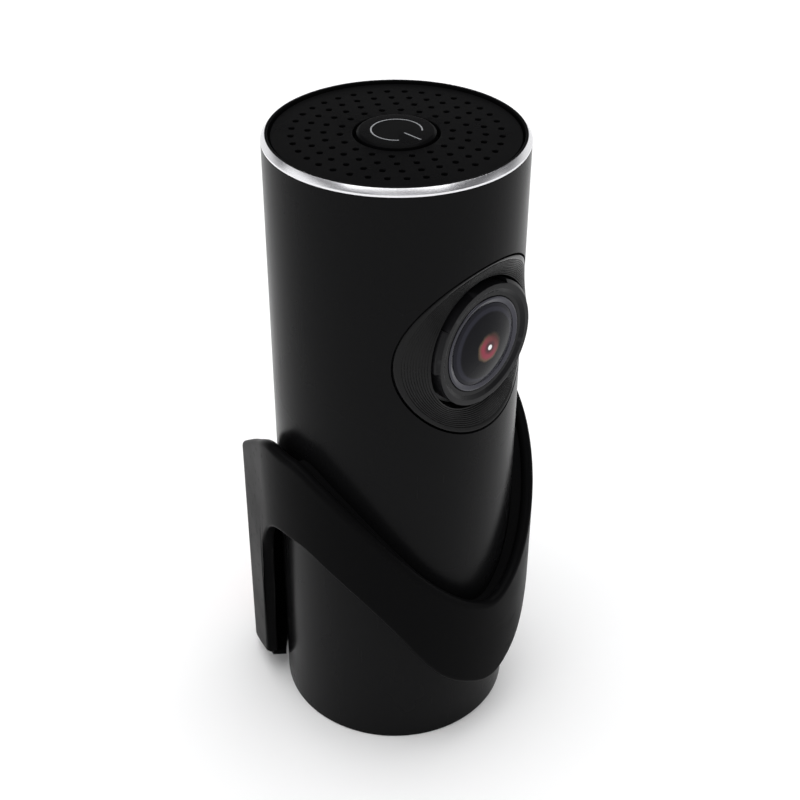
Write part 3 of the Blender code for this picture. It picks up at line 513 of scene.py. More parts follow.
def rounded_box_outline(width, height, radius, steps=6):
    corners = [(x * width / 2, y * height / 2, radius) for x, y in ((1, -1), (1, 1), (-1, 1), (-1, -1))]
    return filleted(corners, steps)


def thread(tooth, start, pitch, turns):
    """Repeat a tooth of (radius, height) points up a shaft."""
    return [(radius, start + pitch * turn + rise) for turn in range(turns) for radius, rise in tooth]


def circle(radius, height, count, centre=(0, 0)):
    """A level ring of points."""
    return [(x, y, height) for x, y in arc_points(centre, radius, 0, 360, count)[:-1]]


def lathe(profile, segments, closed=True):
    """Turn a profile of (radius, height) points about Z. An open profile ends on the axis."""
    builder = bmesh.new()
    rings = []
    for radius, height in profile:
        if radius < 1e-9:
            rings.append([builder.verts.new((0, 0, height))] * segments)
        else:
            rings.append([builder.verts.new(point) for point in circle(radius, height, segments)])
    add_bands(builder, rings, closed)
    return builder


def add_bands(builder, rings, closed):
    for lower, upper in zip(rings, rings[1:] + rings[:1] if closed else rings[1:]):
        add_band(builder, lower, upper)


def add_band(builder, lower, upper):
    """Faces between two rings with as many points each; shared points leave triangles."""
    count = len(lower)
    for index in range(count):
        after = (index + 1) % count
        corners = []
        for corner in (lower[index], lower[after], upper[after], upper[index]):
            if corner not in corners:
                corners.append(corner)
        if len(corners) > 2:
            builder.faces.new(corners)


def loft(loops, closed=True):
    """Skin loops of points, each joined to the next; an open loft has its two ends filled."""
    builder = bmesh.new()
    rows = [[builder.verts.new(point) for point in loop] for loop in loops]
    add_bands(builder, rows, closed)
    if not closed:
        builder.faces.new(rows[0])
        builder.faces.new(rows[-1])
    return builder


def slab(outline, low, high, edge=0.0, steps=3):
    """Extrude a centred outline from low to high, its outer edges rounded inwards by edge."""
    width = max(x for x, _ in outline)
    depth = max(y for _, y in outline)
    turns = [math.pi / 2 * step / steps for step in range(steps + 1)] if edge else [0.0]
    levels = [(turn, low + edge * (1 - math.sin(turn))) for turn in reversed(turns)]
    levels += [(turn, high - edge * (1 - math.sin(turn))) for turn in turns]
    loops = []
    for turn, height in levels:
        inset = edge * (1 - math.cos(turn))
        loops.append([(x * (1 - inset / width), y * (1 - inset / depth), height) for x, y in outline])
    return loft(loops, closed=False)


def box(low, high, edge=0.0):
    """A box between two corners, with rounded edges."""
    middle = [(a + b) / 2 for a, b in zip(low, high)]
    size = [b - a for a, b in zip(low, high)]
    outline = rounded_box_outline(size[0], size[1], max(edge, 1e-6), 3)
    made = slab(outline, -size[2] / 2, size[2] / 2, edge)
    bmesh.ops.translate(made, verts=made.verts, vec=middle)
    return made


def joined(*builders):
    """One builder with the geometry of several."""
    base = builders[0]
    for other in builders[1:]:
        spare = bpy.data.meshes.new("spare")
        other.to_mesh(spare)
        other.free()
        base.from_mesh(spare)
        bpy.data.meshes.remove(spare)
    return base


def moved(builder, place=(0, 0, 0), turn=None):
    if turn is not None:
        bmesh.ops.transform(builder, matrix=turn, verts=builder.verts)
    bmesh.ops.translate(builder, verts=builder.verts, vec=place)
    return builder


def on_lens_axis(builder):
    """Carry a shape turned about Z to the lens axis: its +Z then looks out of the lens."""
    return moved(builder, (0, 0, LENS_Z), FACING_LENS)


def facing_back(builder, height):
    """Carry a shape built along Z to the back of the body: its -Z then looks out at the back."""
    return moved(builder, (0, 0, height), FACING_LENS)


def plain_object(name, builder):
    bmesh.ops.recalc_face_normals(builder, faces=builder.faces)
    mesh = bpy.data.meshes.new(name)
    builder.to_mesh(mesh)
    builder.free()
    item = bpy.data.objects.new(name, mesh)
    bpy.context.collection.objects.link(item)
    return item


def cut(builder, tools, operation="DIFFERENCE"):
    """Cut tools out of a shape, or join them to it, and return the result."""
    target = plain_object("target", builder)
    helpers = [plain_object("helper", tool) for tool in tools]
    for helper in helpers:
        modifier = target.modifiers.new("cut", "BOOLEAN")
        modifier.operation = operation
        modifier.solver = "EXACT"
        modifier.object = helper
    graph = bpy.context.evaluated_depsgraph_get()
    shape = bpy.data.meshes.new_from_object(target.evaluated_get(graph))
    made = bmesh.new()
    made.from_mesh(shape)
    for item in (target, *helpers):
        bpy.data.objects.remove(item, do_unlink=True)
    bpy.data.meshes.remove(shape)
    return made


def add_piece(name, builder, slot, body, replaces=(), material=None, sharp=35, weighted=False):
    """Make a visible piece that rides on a body and takes its finish from a record slot."""
    item = plain_object(name, builder)
    item.data.materials.append(MATERIALS[material or slot])
    item.data.shade_smooth()
    item.data.set_sharp_from_angle(angle=math.radians(sharp))
    if weighted:
        even = item.modifiers.new("even_normals", "WEIGHTED_NORMAL")
        even.keep_sharp = True
        even.weight = 100
    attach(item, body)
    if replaces:
        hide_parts(*replaces)
    return item


def true_barrel_normals(item, radius):
    """Shade the outside of a tube as the round surface it stands for, also beside its cut holes."""
    mesh = item.data
    normals = []
    for corner, loop in zip(mesh.corner_normals, mesh.loops):
        place = mesh.vertices[loop.vertex_index].co
        out = Vector((place.x, place.y, 0))
        given = Vector(corner.vector)
        if abs(out.length - radius) < 0.02 * MM and given.dot(out.normalized()) > 0.93:
            given = out.normalized()
        normals.append(given)
    mesh.normals_split_custom_set(normals)


# ---------------------------------------------------------------- body

def build_body_shell():
    soft = 0.25 * MM
    profile = filleted((
        (BODY_RADIUS, 0, soft), (BODY_RADIUS, TUBE_TOP, 0.12 * MM), (REBATE_RADIUS, TUBE_TOP),
        (REBATE_RADIUS, TUBE_TOP - 1.2 * MM), (BORE_RADIUS, TUBE_TOP - 1.2 * MM),
        (BORE_RADIUS, CAP_THICKNESS + GAP), (REBATE_RADIUS, CAP_THICKNESS + GAP),
        (REBATE_RADIUS, 0)))
    bore = lathe(((0, 5 * MM), (BEZEL_RADIUS + GAP, 5 * MM), (BEZEL_RADIUS + GAP, 25 * MM), (0, 25 * MM)),
                 160, closed=False)
    openings = {
        "memory_card": rounded_box_outline(12.0 * MM, 1.9 * MM, 0.9 * MM),
        "power_socket": rounded_box_outline(9.1 * MM, 4.3 * MM, 1.15 * MM),
        "light_pipe": arc_points((0, 0), 1.0 * MM, 0, 345, 23),
        "microphone": arc_points((0, 0), 0.45 * MM, 0, 345, 23),
    }
    tools = [on_lens_axis(bore)]
    for node, outline in openings.items():
        tools.append(facing_back(slab(outline, -25 * MM, -5 * MM), middle_height(node)))
    shell = cut(lathe(profile, 256), tools)
    item = add_piece("body_shell", shell, "body", "camera", ("housing_tube",))
    true_barrel_normals(item, BODY_RADIUS)


def build_base():
    radius = REBATE_RADIUS - GAP
    screw_x = top_of("base_screw_2").x - 1.4 * MM
    profile = filleted((
        (0, 0.0), (13.0 * MM, 0.0), (13.2 * MM, 0.25 * MM), (13.6 * MM, 0.25 * MM), (13.8 * MM, 0.0),
        (radius, 0.0, 0.2 * MM), (radius, CAP_THICKNESS), (0, CAP_THICKNESS)), closed=False)
    tools = []
    for side in (-1, 1):
        recess = ((0, -1 * MM), (1.95 * MM, -1 * MM), (1.95 * MM, 0.0), (1.7 * MM, 0.25 * MM),
                  (1.7 * MM, 0.8 * MM), (1.1 * MM, 0.8 * MM), (1.1 * MM, 3 * MM), (0, 3 * MM))
        tools.append(moved(lathe(recess, 48, closed=False), (side * screw_x, 0, 0)))
    tools.append(slab(rounded_box_outline(12.0 * MM, 8.0 * MM, 1.0 * MM), -1 * MM, 0.15 * MM))
    add_piece("base_plate", cut(lathe(profile, 192, closed=False), tools), "polymer", "camera",
              ("base_cap",))
    for number, side in enumerate((-1, 1), 1):
        low, high = heights(f"base_screw_{number}")
        head = filleted(((0, low), (1.4 * MM, low, 0.15 * MM), (1.4 * MM, 0.5 * MM, 0.05 * MM),
                         (0.7 * MM, 0.5 * MM)), closed=False)
        tooth = ((0.7 * MM, 0.0), (0.95 * MM, 0.15 * MM), (0.7 * MM, 0.3 * MM))
        head += thread(tooth, 0.9 * MM, 0.45 * MM, 11)
        head += [(0.5 * MM, high), (0, high)]
        arms = []
        for across, along in ((0.22 * MM, 0.95 * MM), (0.95 * MM, 0.22 * MM)):
            arms.append(box((-across, -along, -1 * MM), (across, along, low + 0.3 * MM), 0.05 * MM))
        screw = cut(lathe(head, 48, closed=False), arms)
        add_piece(f"cross_screw_{number}", moved(screw, (side * screw_x, 0, 0)), "steel", "camera",
                  (f"base_screw_{number}",))


def build_silver_ring():
    chamfer = 0.55 * MM
    low = TUBE_TOP + 0.03 * MM
    land = BODY_RADIUS - chamfer - 0.03 * MM
    profile = filleted((
        (BODY_RADIUS, low), (BODY_RADIUS, RING_LOW, 0.04 * MM),
        (BODY_RADIUS - chamfer, RING_TOP, 0.02 * MM), (land, RING_TOP), (land, low)))
    add_piece("silver_ring", lathe(profile, 320), "chrome", "camera", ("top_ring",), sharp=25)
    core = filleted((
        (land - 0.01 * MM, low), (land - 0.01 * MM, RING_TOP - 0.02 * MM),
        (REBATE_RADIUS, RING_TOP - 0.02 * MM, 0.08 * MM), (REBATE_RADIUS, low)))
    add_piece("ring_core", lathe(core, 256), "anodised", "camera", material="polymer")


def build_grille():
    edge = 0.15 * MM
    profile = filleted((
        (BUTTON_HOLE_RADIUS, PLATE_LOW), (PLATE_RADIUS, PLATE_LOW), (PLATE_RADIUS, PLATE_TOP, edge),
        (BUTTON_HOLE_RADIUS, PLATE_TOP, edge)))
    flare = 0.07 * MM
    hole = ((HOLE_RADIUS, PLATE_LOW - 1 * MM), (HOLE_RADIUS, PLATE_TOP - flare),
            (HOLE_RADIUS + flare, PLATE_TOP), (HOLE_RADIUS + flare, RING_TOP))
    drills = []
    for count, radius in HOLE_RINGS:
        for centre in arc_points((0, 0), radius, 0, 360, count)[:-1]:
            rings = [circle(reach, height, 20, centre) for reach, height in hole]
            drills.append(loft(rings, closed=False))
    add_piece("grille_cover", cut(lathe(profile, 192), [joined(*drills)]), "polymer", "camera",
              ("grille_plate",), weighted=True)


def icon_shapes(radius, width, low, high):
    """A power symbol that opens towards the lens: an arc and a bar."""
    outer = arc_points((0, 0), radius + width / 2, -50, 230, 72)
    inner = arc_points((0, 0), radius - width / 2, 230, -50, 72)
    bar = rounded_box_outline(width, 3.1 * MM, width * 0.49)
    bar = [(x, y - 2.97 * MM) for x, y in bar]
    return [outline_prism(outer + inner, low, high), outline_prism(bar, low, high)]


def outline_prism(outline, low, high):
    return loft([[(x, y, height) for x, y in outline] for height in (low, high)], closed=False)


def build_button():
    profile = filleted((
        (0, BUTTON_LOW), (1.4 * MM, BUTTON_LOW, 0.15 * MM), (1.4 * MM, BUTTON_LOW + 0.4 * MM),
        (FLANGE_RADIUS, BUTTON_LOW + 0.4 * MM), (FLANGE_RADIUS, BUTTON_LOW + 0.9 * MM, 0.1 * MM),
        (BUTTON_RADIUS, BUTTON_LOW + 0.9 * MM), (BUTTON_RADIUS, BUTTON_TOP - 0.3 * MM, 0.12 * MM),
        (BUTTON_RADIUS - 0.35 * MM, BUTTON_TOP, 0.3 * MM), (0, BUTTON_TOP)), 5, closed=False)
    radius = 3.4 * MM
    depth = 0.16 * MM
    grooves = icon_shapes(radius, 0.26 * MM, BUTTON_TOP - depth, BUTTON_TOP + 1 * MM)
    add_piece("button_cap", cut(lathe(profile, 160, closed=False), grooves), "polymer_gloss",
              "button", ("power_button",), material="button", sharp=25, weighted=True)
    inlay = joined(*icon_shapes(radius, 0.2 * MM, BUTTON_TOP - depth, BUTTON_TOP - 0.02 * MM))
    add_piece("button_icon_inlay", inlay, "chrome", "button", material="icon")


# ---------------------------------------------------------------- lens

def rim_height(angle):
    """How far out the body's round face is, over a point of the bezel's outer edge."""
    return math.sqrt(BODY_RADIUS ** 2 - (BEZEL_RADIUS * math.cos(angle)) ** 2)


def bezel_rings():
    """Rows of (radius, drop) from the outer edge in: a plain rim, then rounded ribs."""
    rows = [(BEZEL_RADIUS, 0.16 * MM), (BEZEL_RADIUS - 0.04 * MM, 0.05 * MM),
            (BEZEL_RADIUS - 0.14 * MM, 0.0)]
    start = BEZEL_RADIUS - 0.62 * MM
    end = BEZEL_INNER_RADIUS + 0.1 * MM
    pitch = (start - end) / GROOVE_COUNT
    rib = ((0.0, 0.02), (0.10, 0.35), (0.20, 1.0), (0.32, 1.0), (0.42, 0.4), (0.62, 0.08), (0.82, 0.0))
    for groove in range(GROOVE_COUNT):
        for share, drop in rib:
            rows.append((start - pitch * (groove + share), drop * 0.11 * MM))
    rows.append((BEZEL_INNER_RADIUS + 0.06 * MM, 0.02 * MM))
    rows.append((BEZEL_INNER_RADIUS, 0.09 * MM))
    return rows


def build_bezel():
    count = 224
    loops = []
    for radius, drop in bezel_rings():
        share = (radius - BEZEL_INNER_RADIUS) / (BEZEL_RADIUS - BEZEL_INNER_RADIUS)
        loop = []
        for index in range(count):
            angle = 2 * math.pi * index / count
            height = BEZEL_INNER_DEPTH + (rim_height(angle) - BEZEL_INNER_DEPTH) * share - drop
            loop.append((radius * math.cos(angle), radius * math.sin(angle), height))
        loops.append(loop)
    loops.append(circle(BEZEL_INNER_RADIUS, BEZEL_BACK, count))
    loops.append(circle(BEZEL_RADIUS, BEZEL_BACK, count))
    add_piece("grooved_bezel", on_lens_axis(loft(loops)), "polymer_gloss", "camera",
              ("lens_bezel",), sharp=50)


def build_lens_ring():
    seat = 13.9 * MM
    front = LENS_RING_FRONT
    profile = filleted((
        (BARREL_RADIUS + GAP, LENS_RING_BACK), (LENS_RING_RADIUS, LENS_RING_BACK, 0.1 * MM),
        (LENS_RING_RADIUS, front - 0.45 * MM, 0.2 * MM), (LENS_RING_RADIUS - 0.45 * MM, front, 0.25 * MM),
        (8.2 * MM, front, 0.15 * MM), (7.65 * MM, front - 0.4 * MM, 0.15 * MM),
        (7.05 * MM, front - 0.4 * MM, 0.08 * MM), (7.05 * MM, seat), (BARREL_RADIUS + GAP, seat)), 5)
    recesses = []
    for start, end in RING_RECESSES:
        outline = arc_points((0, 0), RECESS_RADIUS, start, end, 48)
        outline += arc_points((0, 0), LENS_RING_RADIUS + 1 * MM, end, start, 48)
        recesses.append(outline_prism(outline, front - 2.4 * MM, front + 2 * MM))
    add_piece("lens_flange", on_lens_axis(cut(lathe(profile, 192), recesses)), "anodised", "camera",
              ("lens_ring",))


def build_retainer():
    """Threaded ring that holds the front glass: a bright rounded lip and a dark shoulder."""
    low, high, radius = along_lens("lens_retainer")
    outer = radius + 0.25 * MM
    inner = outer - 0.9 * MM
    profile = filleted(((inner, low), (outer, low), (outer, high - 0.1 * MM, 0.2 * MM),
                        (outer - 0.3 * MM, high, 0.2 * MM), (inner, high - 0.2 * MM, 0.1 * MM)), 6)
    add_piece("glass_retainer", on_lens_axis(lathe(profile, 192)), "polymer_gloss", "camera",
              ("lens_retainer",), material="retainer")


def dome_arc(radius, top, steps=24):
    """Profile of a domed glass face, from its edge in to the axis."""
    return [(radius * share, top - DOME_RISE * share ** 2) for share in (1.0, *shares(steps)[::-1])]


def build_front_glass():
    """Thin dome whose coating shows the dark inside of the lens, with its red pupil as a painted
    reflection and a painted white glint.
    """
    _, high, radius = along_lens("front_glass")
    profile = dome_arc(radius, high - 0.5 * MM)[::-1] + dome_arc(radius, high)
    add_piece("dome_glass", on_lens_axis(lathe(profile, 128, closed=False)), "glass", "camera",
              ("front_glass",), material="coating", sharp=40)


def build_inner_lens():
    """What the front glass shows: a domed element with a coated pupil, painted with the same red
    reflection and white glint, and the threaded barrel.
    """
    low, high, outer = along_lens("lens_barrel")
    root = outer - 0.2 * MM
    tooth = ((root, 0.0), (outer, 0.15 * MM), (outer, 0.25 * MM), (root, 0.4 * MM))
    profile = [(outer - 1.2 * MM, low), (outer, low)]
    profile += thread(tooth, low + 0.6 * MM, 0.5 * MM, 16)
    profile += [(outer, high - 0.2 * MM), (root, high), (outer - 1.2 * MM, high)]
    add_piece("threaded_barrel", on_lens_axis(lathe(profile, 96)), "anodised", "camera",
              ("lens_barrel",))
    back, front, radius = along_lens("middle_glass")
    profile = [(0, back), (radius, back)] + dome_arc(radius, front)
    add_piece("coated_element", on_lens_axis(lathe(profile, 128, closed=False)), "glass", "camera",
              ("middle_glass",), material="coating", sharp=50)


# ---------------------------------------------------------------- back of the body

def build_memory_card():
    width = CARD_HIGH.x - CARD_LOW.x
    length = CARD_HIGH.y - CARD_LOW.y
    half = width / 2
    soft = 0.5 * MM
    outline = filleted((
        (-half, 0, soft), (half, 0, soft), (half, -9.0 * MM, 0.3 * MM),
        (half - 1.3 * MM, -10.5 * MM, 0.3 * MM), (half - 1.3 * MM, -length, soft),
        (-half, -length, soft)), 5)
    low = CARD_LOW.z
    high = CARD_HIGH.z
    card = outline_prism(outline, low + 0.05 * MM, high - 0.25 * MM)
    lip = box((-half + 0.1 * MM, -1.6 * MM, high - 0.5 * MM),
              (half - 0.1 * MM, -0.15 * MM, high), 0.12 * MM)
    card = cut(card, [lip], "UNION")
    place = (0, CARD_HIGH.y, 0)
    add_piece("card_case", moved(card, place), "polymer", "card", ("memory_card",))
    label = outline_prism(rounded_box_outline(width - 2.6 * MM, 6.6 * MM, 0.5 * MM),
                          high - 0.25 * MM, high - 0.2 * MM)
    add_piece("card_label_film", moved(label, (0, CARD_HIGH.y - 5.6 * MM, 0)), "polymer", "card",
              material="label")
    pads = []
    for index in range(8):
        x = -half + 1.3 * MM + 1.0 * MM * index
        pad = box((x, -length + 0.6 * MM, low), (x + 0.7 * MM, -length + 3.4 * MM, low + 0.05 * MM))
        pads.append(moved(pad, place))
    add_piece("card_contacts", joined(*pads), "copper", "card", material="gold")


def build_power_socket():
    height = (SOCKET_LOW.z + SOCKET_HIGH.z) / 2
    width = SOCKET_HIGH.x - SOCKET_LOW.x
    tall = SOCKET_HIGH.z - SOCKET_LOW.z
    outer = rounded_box_outline(width, tall, 0.8 * MM)
    inner = rounded_box_outline(width - 0.6 * MM, tall - 0.6 * MM, 0.6 * MM)
    flared = rounded_box_outline(width - 0.2 * MM, tall - 0.2 * MM, 0.7 * MM)
    loops = []
    for outline, depth in ((outer, SOCKET_LOW.y), (outer, SOCKET_HIGH.y - 0.1 * MM),
                           (flared, SOCKET_HIGH.y), (inner, SOCKET_HIGH.y - 0.3 * MM),
                           (inner, SOCKET_LOW.y + 0.9 * MM)):
        loops.append([(x, y, -depth) for x, y in outline])
    add_piece("socket_shell", facing_back(loft(loops, closed=False), height), "steel", "camera",
              ("power_socket",))
    low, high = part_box("contact_tongue")
    tongue = box((low.x, low.y, low.z), (high.x, high.y, high.z), 0.08 * MM)
    add_piece("socket_tongue", tongue, "polymer", "camera", ("contact_tongue",))
    strips = []
    for index in range(5):
        x = 0.85 * MM * (index - 2)
        strips.append(box((x - 0.16 * MM, low.y + 1 * MM, high.z), (x + 0.16 * MM, high.y - 0.3 * MM,
                                                                      high.z + 0.06 * MM)))
    add_piece("socket_contacts", joined(*strips), "copper", "camera", material="gold")


def back_plug(node, face, edge, steps, segments):
    """A round piece in the body's back. Its face is (radius, depth) points out from the middle."""
    low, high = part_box(node)
    radius = (high.z - low.z) / 2
    profile = [(reach, depth - high.y) for reach, depth in face]
    profile += [(radius, -high.y, edge), (radius, -low.y), (0, -low.y)]
    turned = lathe(filleted(profile, steps, closed=False), segments, closed=False)
    return facing_back(turned, middle_height(node))


def build_light_and_microphone():
    pipe = back_plug("light_pipe", ((0, 0),), 0.3 * MM, 6, 40)
    add_piece("status_light", pipe, "clear", "camera", ("light_pipe",))
    face = ((0, 0.15 * MM), (0.5 * MM, 0.15 * MM), (0.6 * MM, 0))
    capsule = back_plug("microphone", face, 0.2 * MM, 4, 48)
    add_piece("microphone_capsule", capsule, "steel", "camera", ("microphone",))


# ---------------------------------------------------------------- bracket

def smooth_value(points, position):
    """Read a smooth curve through (position, value) points, level at both of its ends."""
    slopes = [0.0]
    for before, here, after in zip(points, points[1:], points[2:]):
        rise_in = (here[1] - before[1]) / (here[0] - before[0])
        rise_out = (after[1] - here[1]) / (after[0] - here[0])
        slopes.append((rise_in + rise_out) / 2 if rise_in * rise_out > 0 else 0.0)
    slopes.append(0.0)
    for index in range(len(points) - 1):
        start, end = points[index], points[index + 1]
        if position <= end[0]:
            break
    span = end[0] - start[0]
    t = min(max((position - start[0]) / span, 0.0), 1.0)
    value = (2 * t ** 3 - 3 * t ** 2 + 1) * start[1] + (3 * t ** 2 - 2 * t ** 3) * end[1]
    value += (t ** 3 - 2 * t ** 2 + t) * span * slopes[index]
    value += (t ** 3 - t ** 2) * span * slopes[index + 1]
    return value


def wall_point(azimuth, inset):
    """Plan position on the wall at an azimuth from the lens side, inset from its outside.

    The wall is the round band, a flat cheek that is tangent to it, the rounded corner and the
    flat back plate. The ray from the axis meets whichever of these lies nearest to the axis.
    """
    aside, along = plan_point(1, azimuth)
    across = abs(aside)
    side = 1 if aside >= 0 else -1
    corner = (CORNER_X, PLATE_BACK - CORNER_RADIUS)
    reach = math.hypot(*corner)
    lean = math.acos((BAND_RADIUS - CORNER_RADIUS) / reach)
    normal_angle = math.atan2(corner[1], corner[0]) - lean
    normal = (math.cos(normal_angle), math.sin(normal_angle))
    if math.atan2(along, across) <= normal_angle:
        distance = BAND_RADIUS - inset
    else:
        cheek = (BAND_RADIUS - inset) / (across * normal[0] + along * normal[1])
        back = (PLATE_BACK - inset) / along
        distance = min(cheek, back)
        projected = across * corner[0] + along * corner[1]
        clear = reach ** 2 - projected ** 2
        radius = CORNER_RADIUS - inset
        if clear < radius ** 2:
            rounded = projected + math.sqrt(radius ** 2 - clear)
            touch = (across * rounded - corner[0], along * rounded - corner[1])
            between = math.atan2(touch[1], touch[0])
            if normal_angle <= between <= math.pi / 2:
                distance = rounded
    return side * across * distance, along * distance


def plan_point(radius, degrees):
    """Plan position on a circle about the body's axis, at an azimuth from the lens side."""
    angle = math.radians(degrees)
    return radius * math.sin(angle), -radius * math.cos(angle)


def tongue_height(x):
    """Lower edge of the back plate: level in the middle, curling up to its sides."""
    beyond = max(0.0, abs(x) - TONGUE_FLAT)
    return TONGUE_BOTTOM + TONGUE_RISE * beyond ** 2


def leg_front_azimuth():
    """Azimuth at which the cheek's outside crosses the plane of the leg's front edge."""
    low, high = 100.0, 140.0
    for _ in range(40):
        middle = (low + high) / 2
        if wall_point(middle, 0)[1] < LEG_FRONT_Y:
            low = middle
        else:
            high = middle
    return low


def edge_columns(count):
    """Lower azimuth, lower height and upper azimuth of each column, from the lens side to the back."""
    leg = leg_front_azimuth()
    foot = tongue_height(wall_point(leg, 0)[0])
    top, corner = ARCH_TOP_AZIMUTH, leg + CORNER_TURN
    columns = []
    for share in shares(count * 4 // 9):
        azimuth = top * share
        columns.append((azimuth, smooth_value(LOWER_EDGE, min(azimuth, LOWER_EDGE[-1][0])) * MM, azimuth))
    for share in shares(count * 2 // 9):
        turn = math.pi / 2 * share
        height = ARCH_FOOT_Z + (ARCH_TOP_Z - ARCH_FOOT_Z) * math.cos(turn)
        columns.append((top + (leg - top) * math.sin(turn), height, top + FAN * share))
    for share in shares(count // 9):
        height = ARCH_FOOT_Z + (foot - ARCH_FOOT_Z) * share
        columns.append((leg + CORNER_TURN * share, height, top + FAN * (1 + share)))
    for share in (*shares(count * 2 // 9), 1.0):
        azimuth = corner + (180 - corner) * share
        height = tongue_height(wall_point(azimuth, 0)[0])
        columns.append((azimuth, height, top + 2 * FAN + (180 - top - 2 * FAN) * share))
    return columns


def wall_girth():
    """Azimuths and the length round the wall's middle up to each of them."""
    azimuths = np.linspace(0, 180, 721)
    points = np.array([wall_point(azimuth, BAND_WALL / 2) for azimuth in azimuths])
    steps = np.hypot(*np.diff(points, axis=0).T)
    return azimuths, np.concatenate(([0.0], np.cumsum(steps)))


def distance_to_line(points, line):
    """Distance from each point to a line through points, both as rows of (girth, height)."""
    starts = line[:-1]
    runs = line[1:] - line[:-1]
    lengths = np.maximum((runs ** 2).sum(axis=1), 1e-18)
    offsets = points[:, None, :] - starts[None, :, :]
    share = np.clip((offsets * runs).sum(axis=2) / lengths, 0, 1)
    nearest = starts + share[:, :, None] * runs
    return np.hypot(*(points[:, None, :] - nearest).transpose(2, 0, 1)).min(axis=1)


def wall_mesh():
    """The bracket's wall with its edges rounded by how far each point lies from the nearest edge."""
    columns = edge_columns(216)
    near = [0.0, 0.004, 0.009, 0.016, 0.025, 0.036, 0.05, 0.07, 0.1, 0.14, 0.2]
    levels = near + [0.3, 0.4, 0.5, 0.6, 0.7] + [1 - share for share in reversed(near)]
    azimuths, girths = wall_girth()
    grid = []
    for lower, low_z, upper in columns:
        high_z = smooth_value(TOP_EDGE, upper) * MM
        for share in levels:
            grid.append((lower + (upper - lower) * share, low_z + (high_z - low_z) * share))
    grid = np.array(grid)
    flat = np.column_stack((np.interp(grid[:, 0], azimuths, girths), grid[:, 1]))
    rows = len(levels)
    lower_line = flat[0::rows]
    upper_line = flat[rows - 1::rows]
    away = np.minimum(distance_to_line(flat, lower_line), distance_to_line(flat, upper_line))
    top_share = np.tile(levels, len(columns))
    band = np.clip((118 - grid[:, 0]) / 12, 0, 1)
    soft = np.where(top_share > 0.5, 0.82 * MM, (0.35 + 0.3 * band) * MM)
    short = np.clip(soft - away, 0, None)
    inset = soft - np.sqrt(np.maximum(soft ** 2 - short ** 2, 0))
    loops = []
    for column in range(len(columns)):
        outside = []
        inside = []
        for row in range(rows):
            index = column * rows + row
            azimuth, height = grid[index]
            for side, depth in ((outside, inset[index]), (inside, BAND_WALL - inset[index])):
                x, y = wall_point(azimuth, depth)
                side.append((x, y, height))
        loops.append(outside + inside[::-1])
    mirrored = [[(-x, y, z) for x, y, z in loop] for loop in reversed(loops[1:-1])]
    return loft(loops + mirrored)


def leg_floor():
    """Crescent that closes the bottom of the hollow leg, between the back wall and the body."""
    inner_start = 180 - math.degrees(math.acos(LEG_FRONT_Y / FLOOR_RADIUS))
    wall_start = leg_front_azimuth() + 0.5
    low = 0.1 * MM
    high = low + FLOOR_THICKNESS
    loops = []
    for share in (*shares(72), 1.0):
        azimuth = wall_start + (360 - 2 * wall_start) * share
        outer = wall_point(azimuth - 360 if azimuth > 180 else azimuth, BAND_WALL / 2)
        inner = plan_point(FLOOR_RADIUS, inner_start + (360 - 2 * inner_start) * share)
        corners = ((outer, low), (inner, low), (inner, high), (outer, high))
        loops.append([(x, y, tongue_height(x) + rise) for (x, y), rise in corners])
    return loft(loops, closed=False)


def build_bracket():
    add_piece("sling", cut(wall_mesh(), [leg_floor()], "UNION"), "bracket", "mount",
              ("sling_bracket",), sharp=40)


def build_grip_liner():
    """Rubber strip between the band and the body, with small ribs along it."""
    reach = 92
    steps = 184
    ribs = 7
    margin = 1.2 * MM
    inner = BODY_RADIUS + 0.08 * MM
    outer = BAND_RADIUS - BAND_WALL - 0.01 * MM
    loops = []
    for step in range(steps + 1):
        azimuth = -reach + 2 * reach * step / steps
        low = smooth_value(LOWER_EDGE, abs(azimuth)) * MM + margin
        high = smooth_value(TOP_EDGE, abs(azimuth)) * MM - margin
        section = [(outer, low), (outer, high)]
        for rib in range(ribs):
            for share, depth in ((0.1, 0.0), (0.35, 0.0), (0.6, 0.2 * MM), (0.85, 0.2 * MM)):
                z = high - (high - low) * (rib + share) / ribs
                section.append((inner + depth, z))
        loops.append([(*plan_point(radius, azimuth), z) for radius, z in section])
    add_piece("ribbed_liner", loft(loops, closed=False), "rubber", "mount", ("grip_liner",))


def build_adhesive_pad():
    """Foam tape with its red release film still on the face."""
    width = PAD_HIGH.x - PAD_LOW.x
    tall = PAD_HIGH.z - PAD_LOW.z
    film = 0.12 * MM
    foam = slab(rounded_box_outline(width, tall, 2.0 * MM, 10), -PAD_HIGH.y + film, -PAD_LOW.y, 0.08 * MM)
    middle = (PAD_LOW.z + PAD_HIGH.z) / 2
    add_piece("foam_tape", facing_back(foam, middle), "foam", "mount", ("adhesive_pad",))
    cover = slab(rounded_box_outline(width - 0.1 * MM, tall - 0.1 * MM, 2.0 * MM, 10), -PAD_HIGH.y,
                 -PAD_HIGH.y + film - 0.01 * MM)
    add_piece("release_film", facing_back(cover, middle), "foam", "mount", material="liner")


# ---------------------------------------------------------------- studio

def build_floor():
    half = 0.55
    floor = bmesh.new()
    floor.faces.new([floor.verts.new((x * half, y * half, 0))
                     for x, y in ((-1, -1), (1, -1), (1, 1), (-1, 1))])
    item = plain_object("floor", floor)
    made = Surface("floor_paint", (0.95, 0.95, 0.95), 0.8, Specular_IOR_Level=0.1)
    made.paint(made.span(made.noise(6.0, 2.0), 0.4, 0.7, 0.0, 0.15), (0.92, 0.92, 0.92))
    item.data.materials.append(made.material)


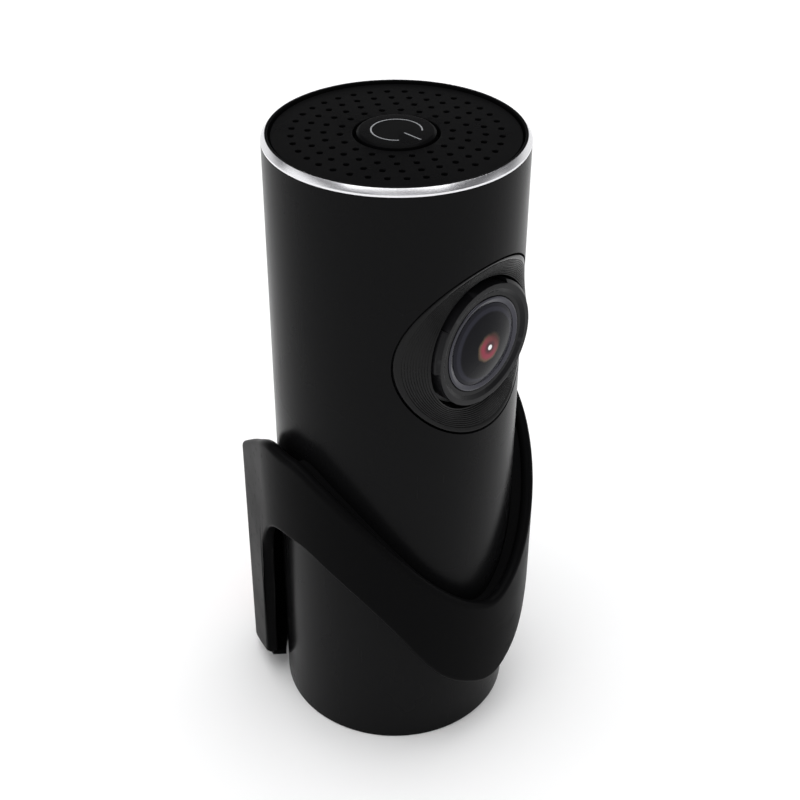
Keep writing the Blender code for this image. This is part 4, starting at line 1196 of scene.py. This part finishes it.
def build_world():
    """Studio surround: pale at the horizon and dim overhead."""
    world = bpy.data.worlds.new("studio")
    world.use_nodes = True
    bpy.context.scene.world = world
    nodes = world.node_tree.nodes
    links = world.node_tree.links
    place = nodes.new("ShaderNodeTexCoord")
    split = nodes.new("ShaderNodeSeparateXYZ")
    ramp = nodes.new("ShaderNodeValToRGB")
    links.new(place.outputs["Generated"], split.inputs[0])
    links.new(split.outputs["Z"], ramp.inputs["Fac"])
    ramp.color_ramp.elements[0].position = 0.16
    ramp.color_ramp.elements[0].color = (1.0, 1.0, 1.0, 1.0)
    ramp.color_ramp.elements[1].position = 0.34
    ramp.color_ramp.elements[1].color = (0.12, 0.12, 0.125, 1.0)
    links.new(ramp.outputs["Color"], nodes["Background"].inputs["Color"])


def add_light(name, place, target, size, power):
    """A softbox: size is its width and height, and it faces the target."""
    light = bpy.data.lights.new(name, "AREA")
    light.shape = "RECTANGLE"
    light.size, light.size_y = size
    light.energy = power
    item = bpy.data.objects.new(name, light)
    item.location = place
    item.rotation_euler = (Vector(target) - Vector(place)).to_track_quat("-Z", "Y").to_euler()
    bpy.context.collection.objects.link(item)


def build_lights():
    middle = (0, 0, RING_TOP / 2)
    add_light("overhead", (0.04, 0.04, 1.3), (0, 0, 0), (1.75, 1.75), 26)
    add_light("left_box", (-0.75, 0.40, 0.48), middle, (1.1, 0.35), 1.35)
    add_light("front_box", (-0.5, -0.55, 0.55), middle, (0.5, 0.4), 0.5)
    add_light("right_box", (0.55, -0.6, 0.35), middle, (0.3, 0.3), 0.2)


def build_camera():
    """Three-quarter view from the lens side and above."""
    heading = math.radians(45.69)
    pitch = math.radians(34.66)
    roll = math.radians(0.33)
    data = bpy.data.cameras.new("camera")
    data.sensor_width = 36.0
    data.lens = 63.02
    item = bpy.data.objects.new("camera", data)
    item.location = (-0.122906, -0.120907, 0.172518)
    turn = Matrix.Rotation(-heading, 4, "Z") @ Matrix.Rotation(math.pi / 2 - pitch, 4, "X")
    item.rotation_euler = (turn @ Matrix.Rotation(roll, 4, "Z")).to_euler()
    bpy.context.collection.objects.link(item)
    bpy.context.scene.camera = item


def build_studio():
    build_floor()
    build_world()
    build_lights()
    build_camera()
    bpy.context.scene.view_settings.view_transform = "Standard"


def main():
    make_materials()
    build_body_shell()
    build_base()
    build_silver_ring()
    build_grille()
    build_button()
    build_bezel()
    build_lens_ring()
    build_retainer()
    build_front_glass()
    build_inner_lens()
    build_memory_card()
    build_power_socket()
    build_light_and_microphone()
    build_bracket()
    build_grip_liner()
    build_adhesive_pad()
    build_studio()


main()
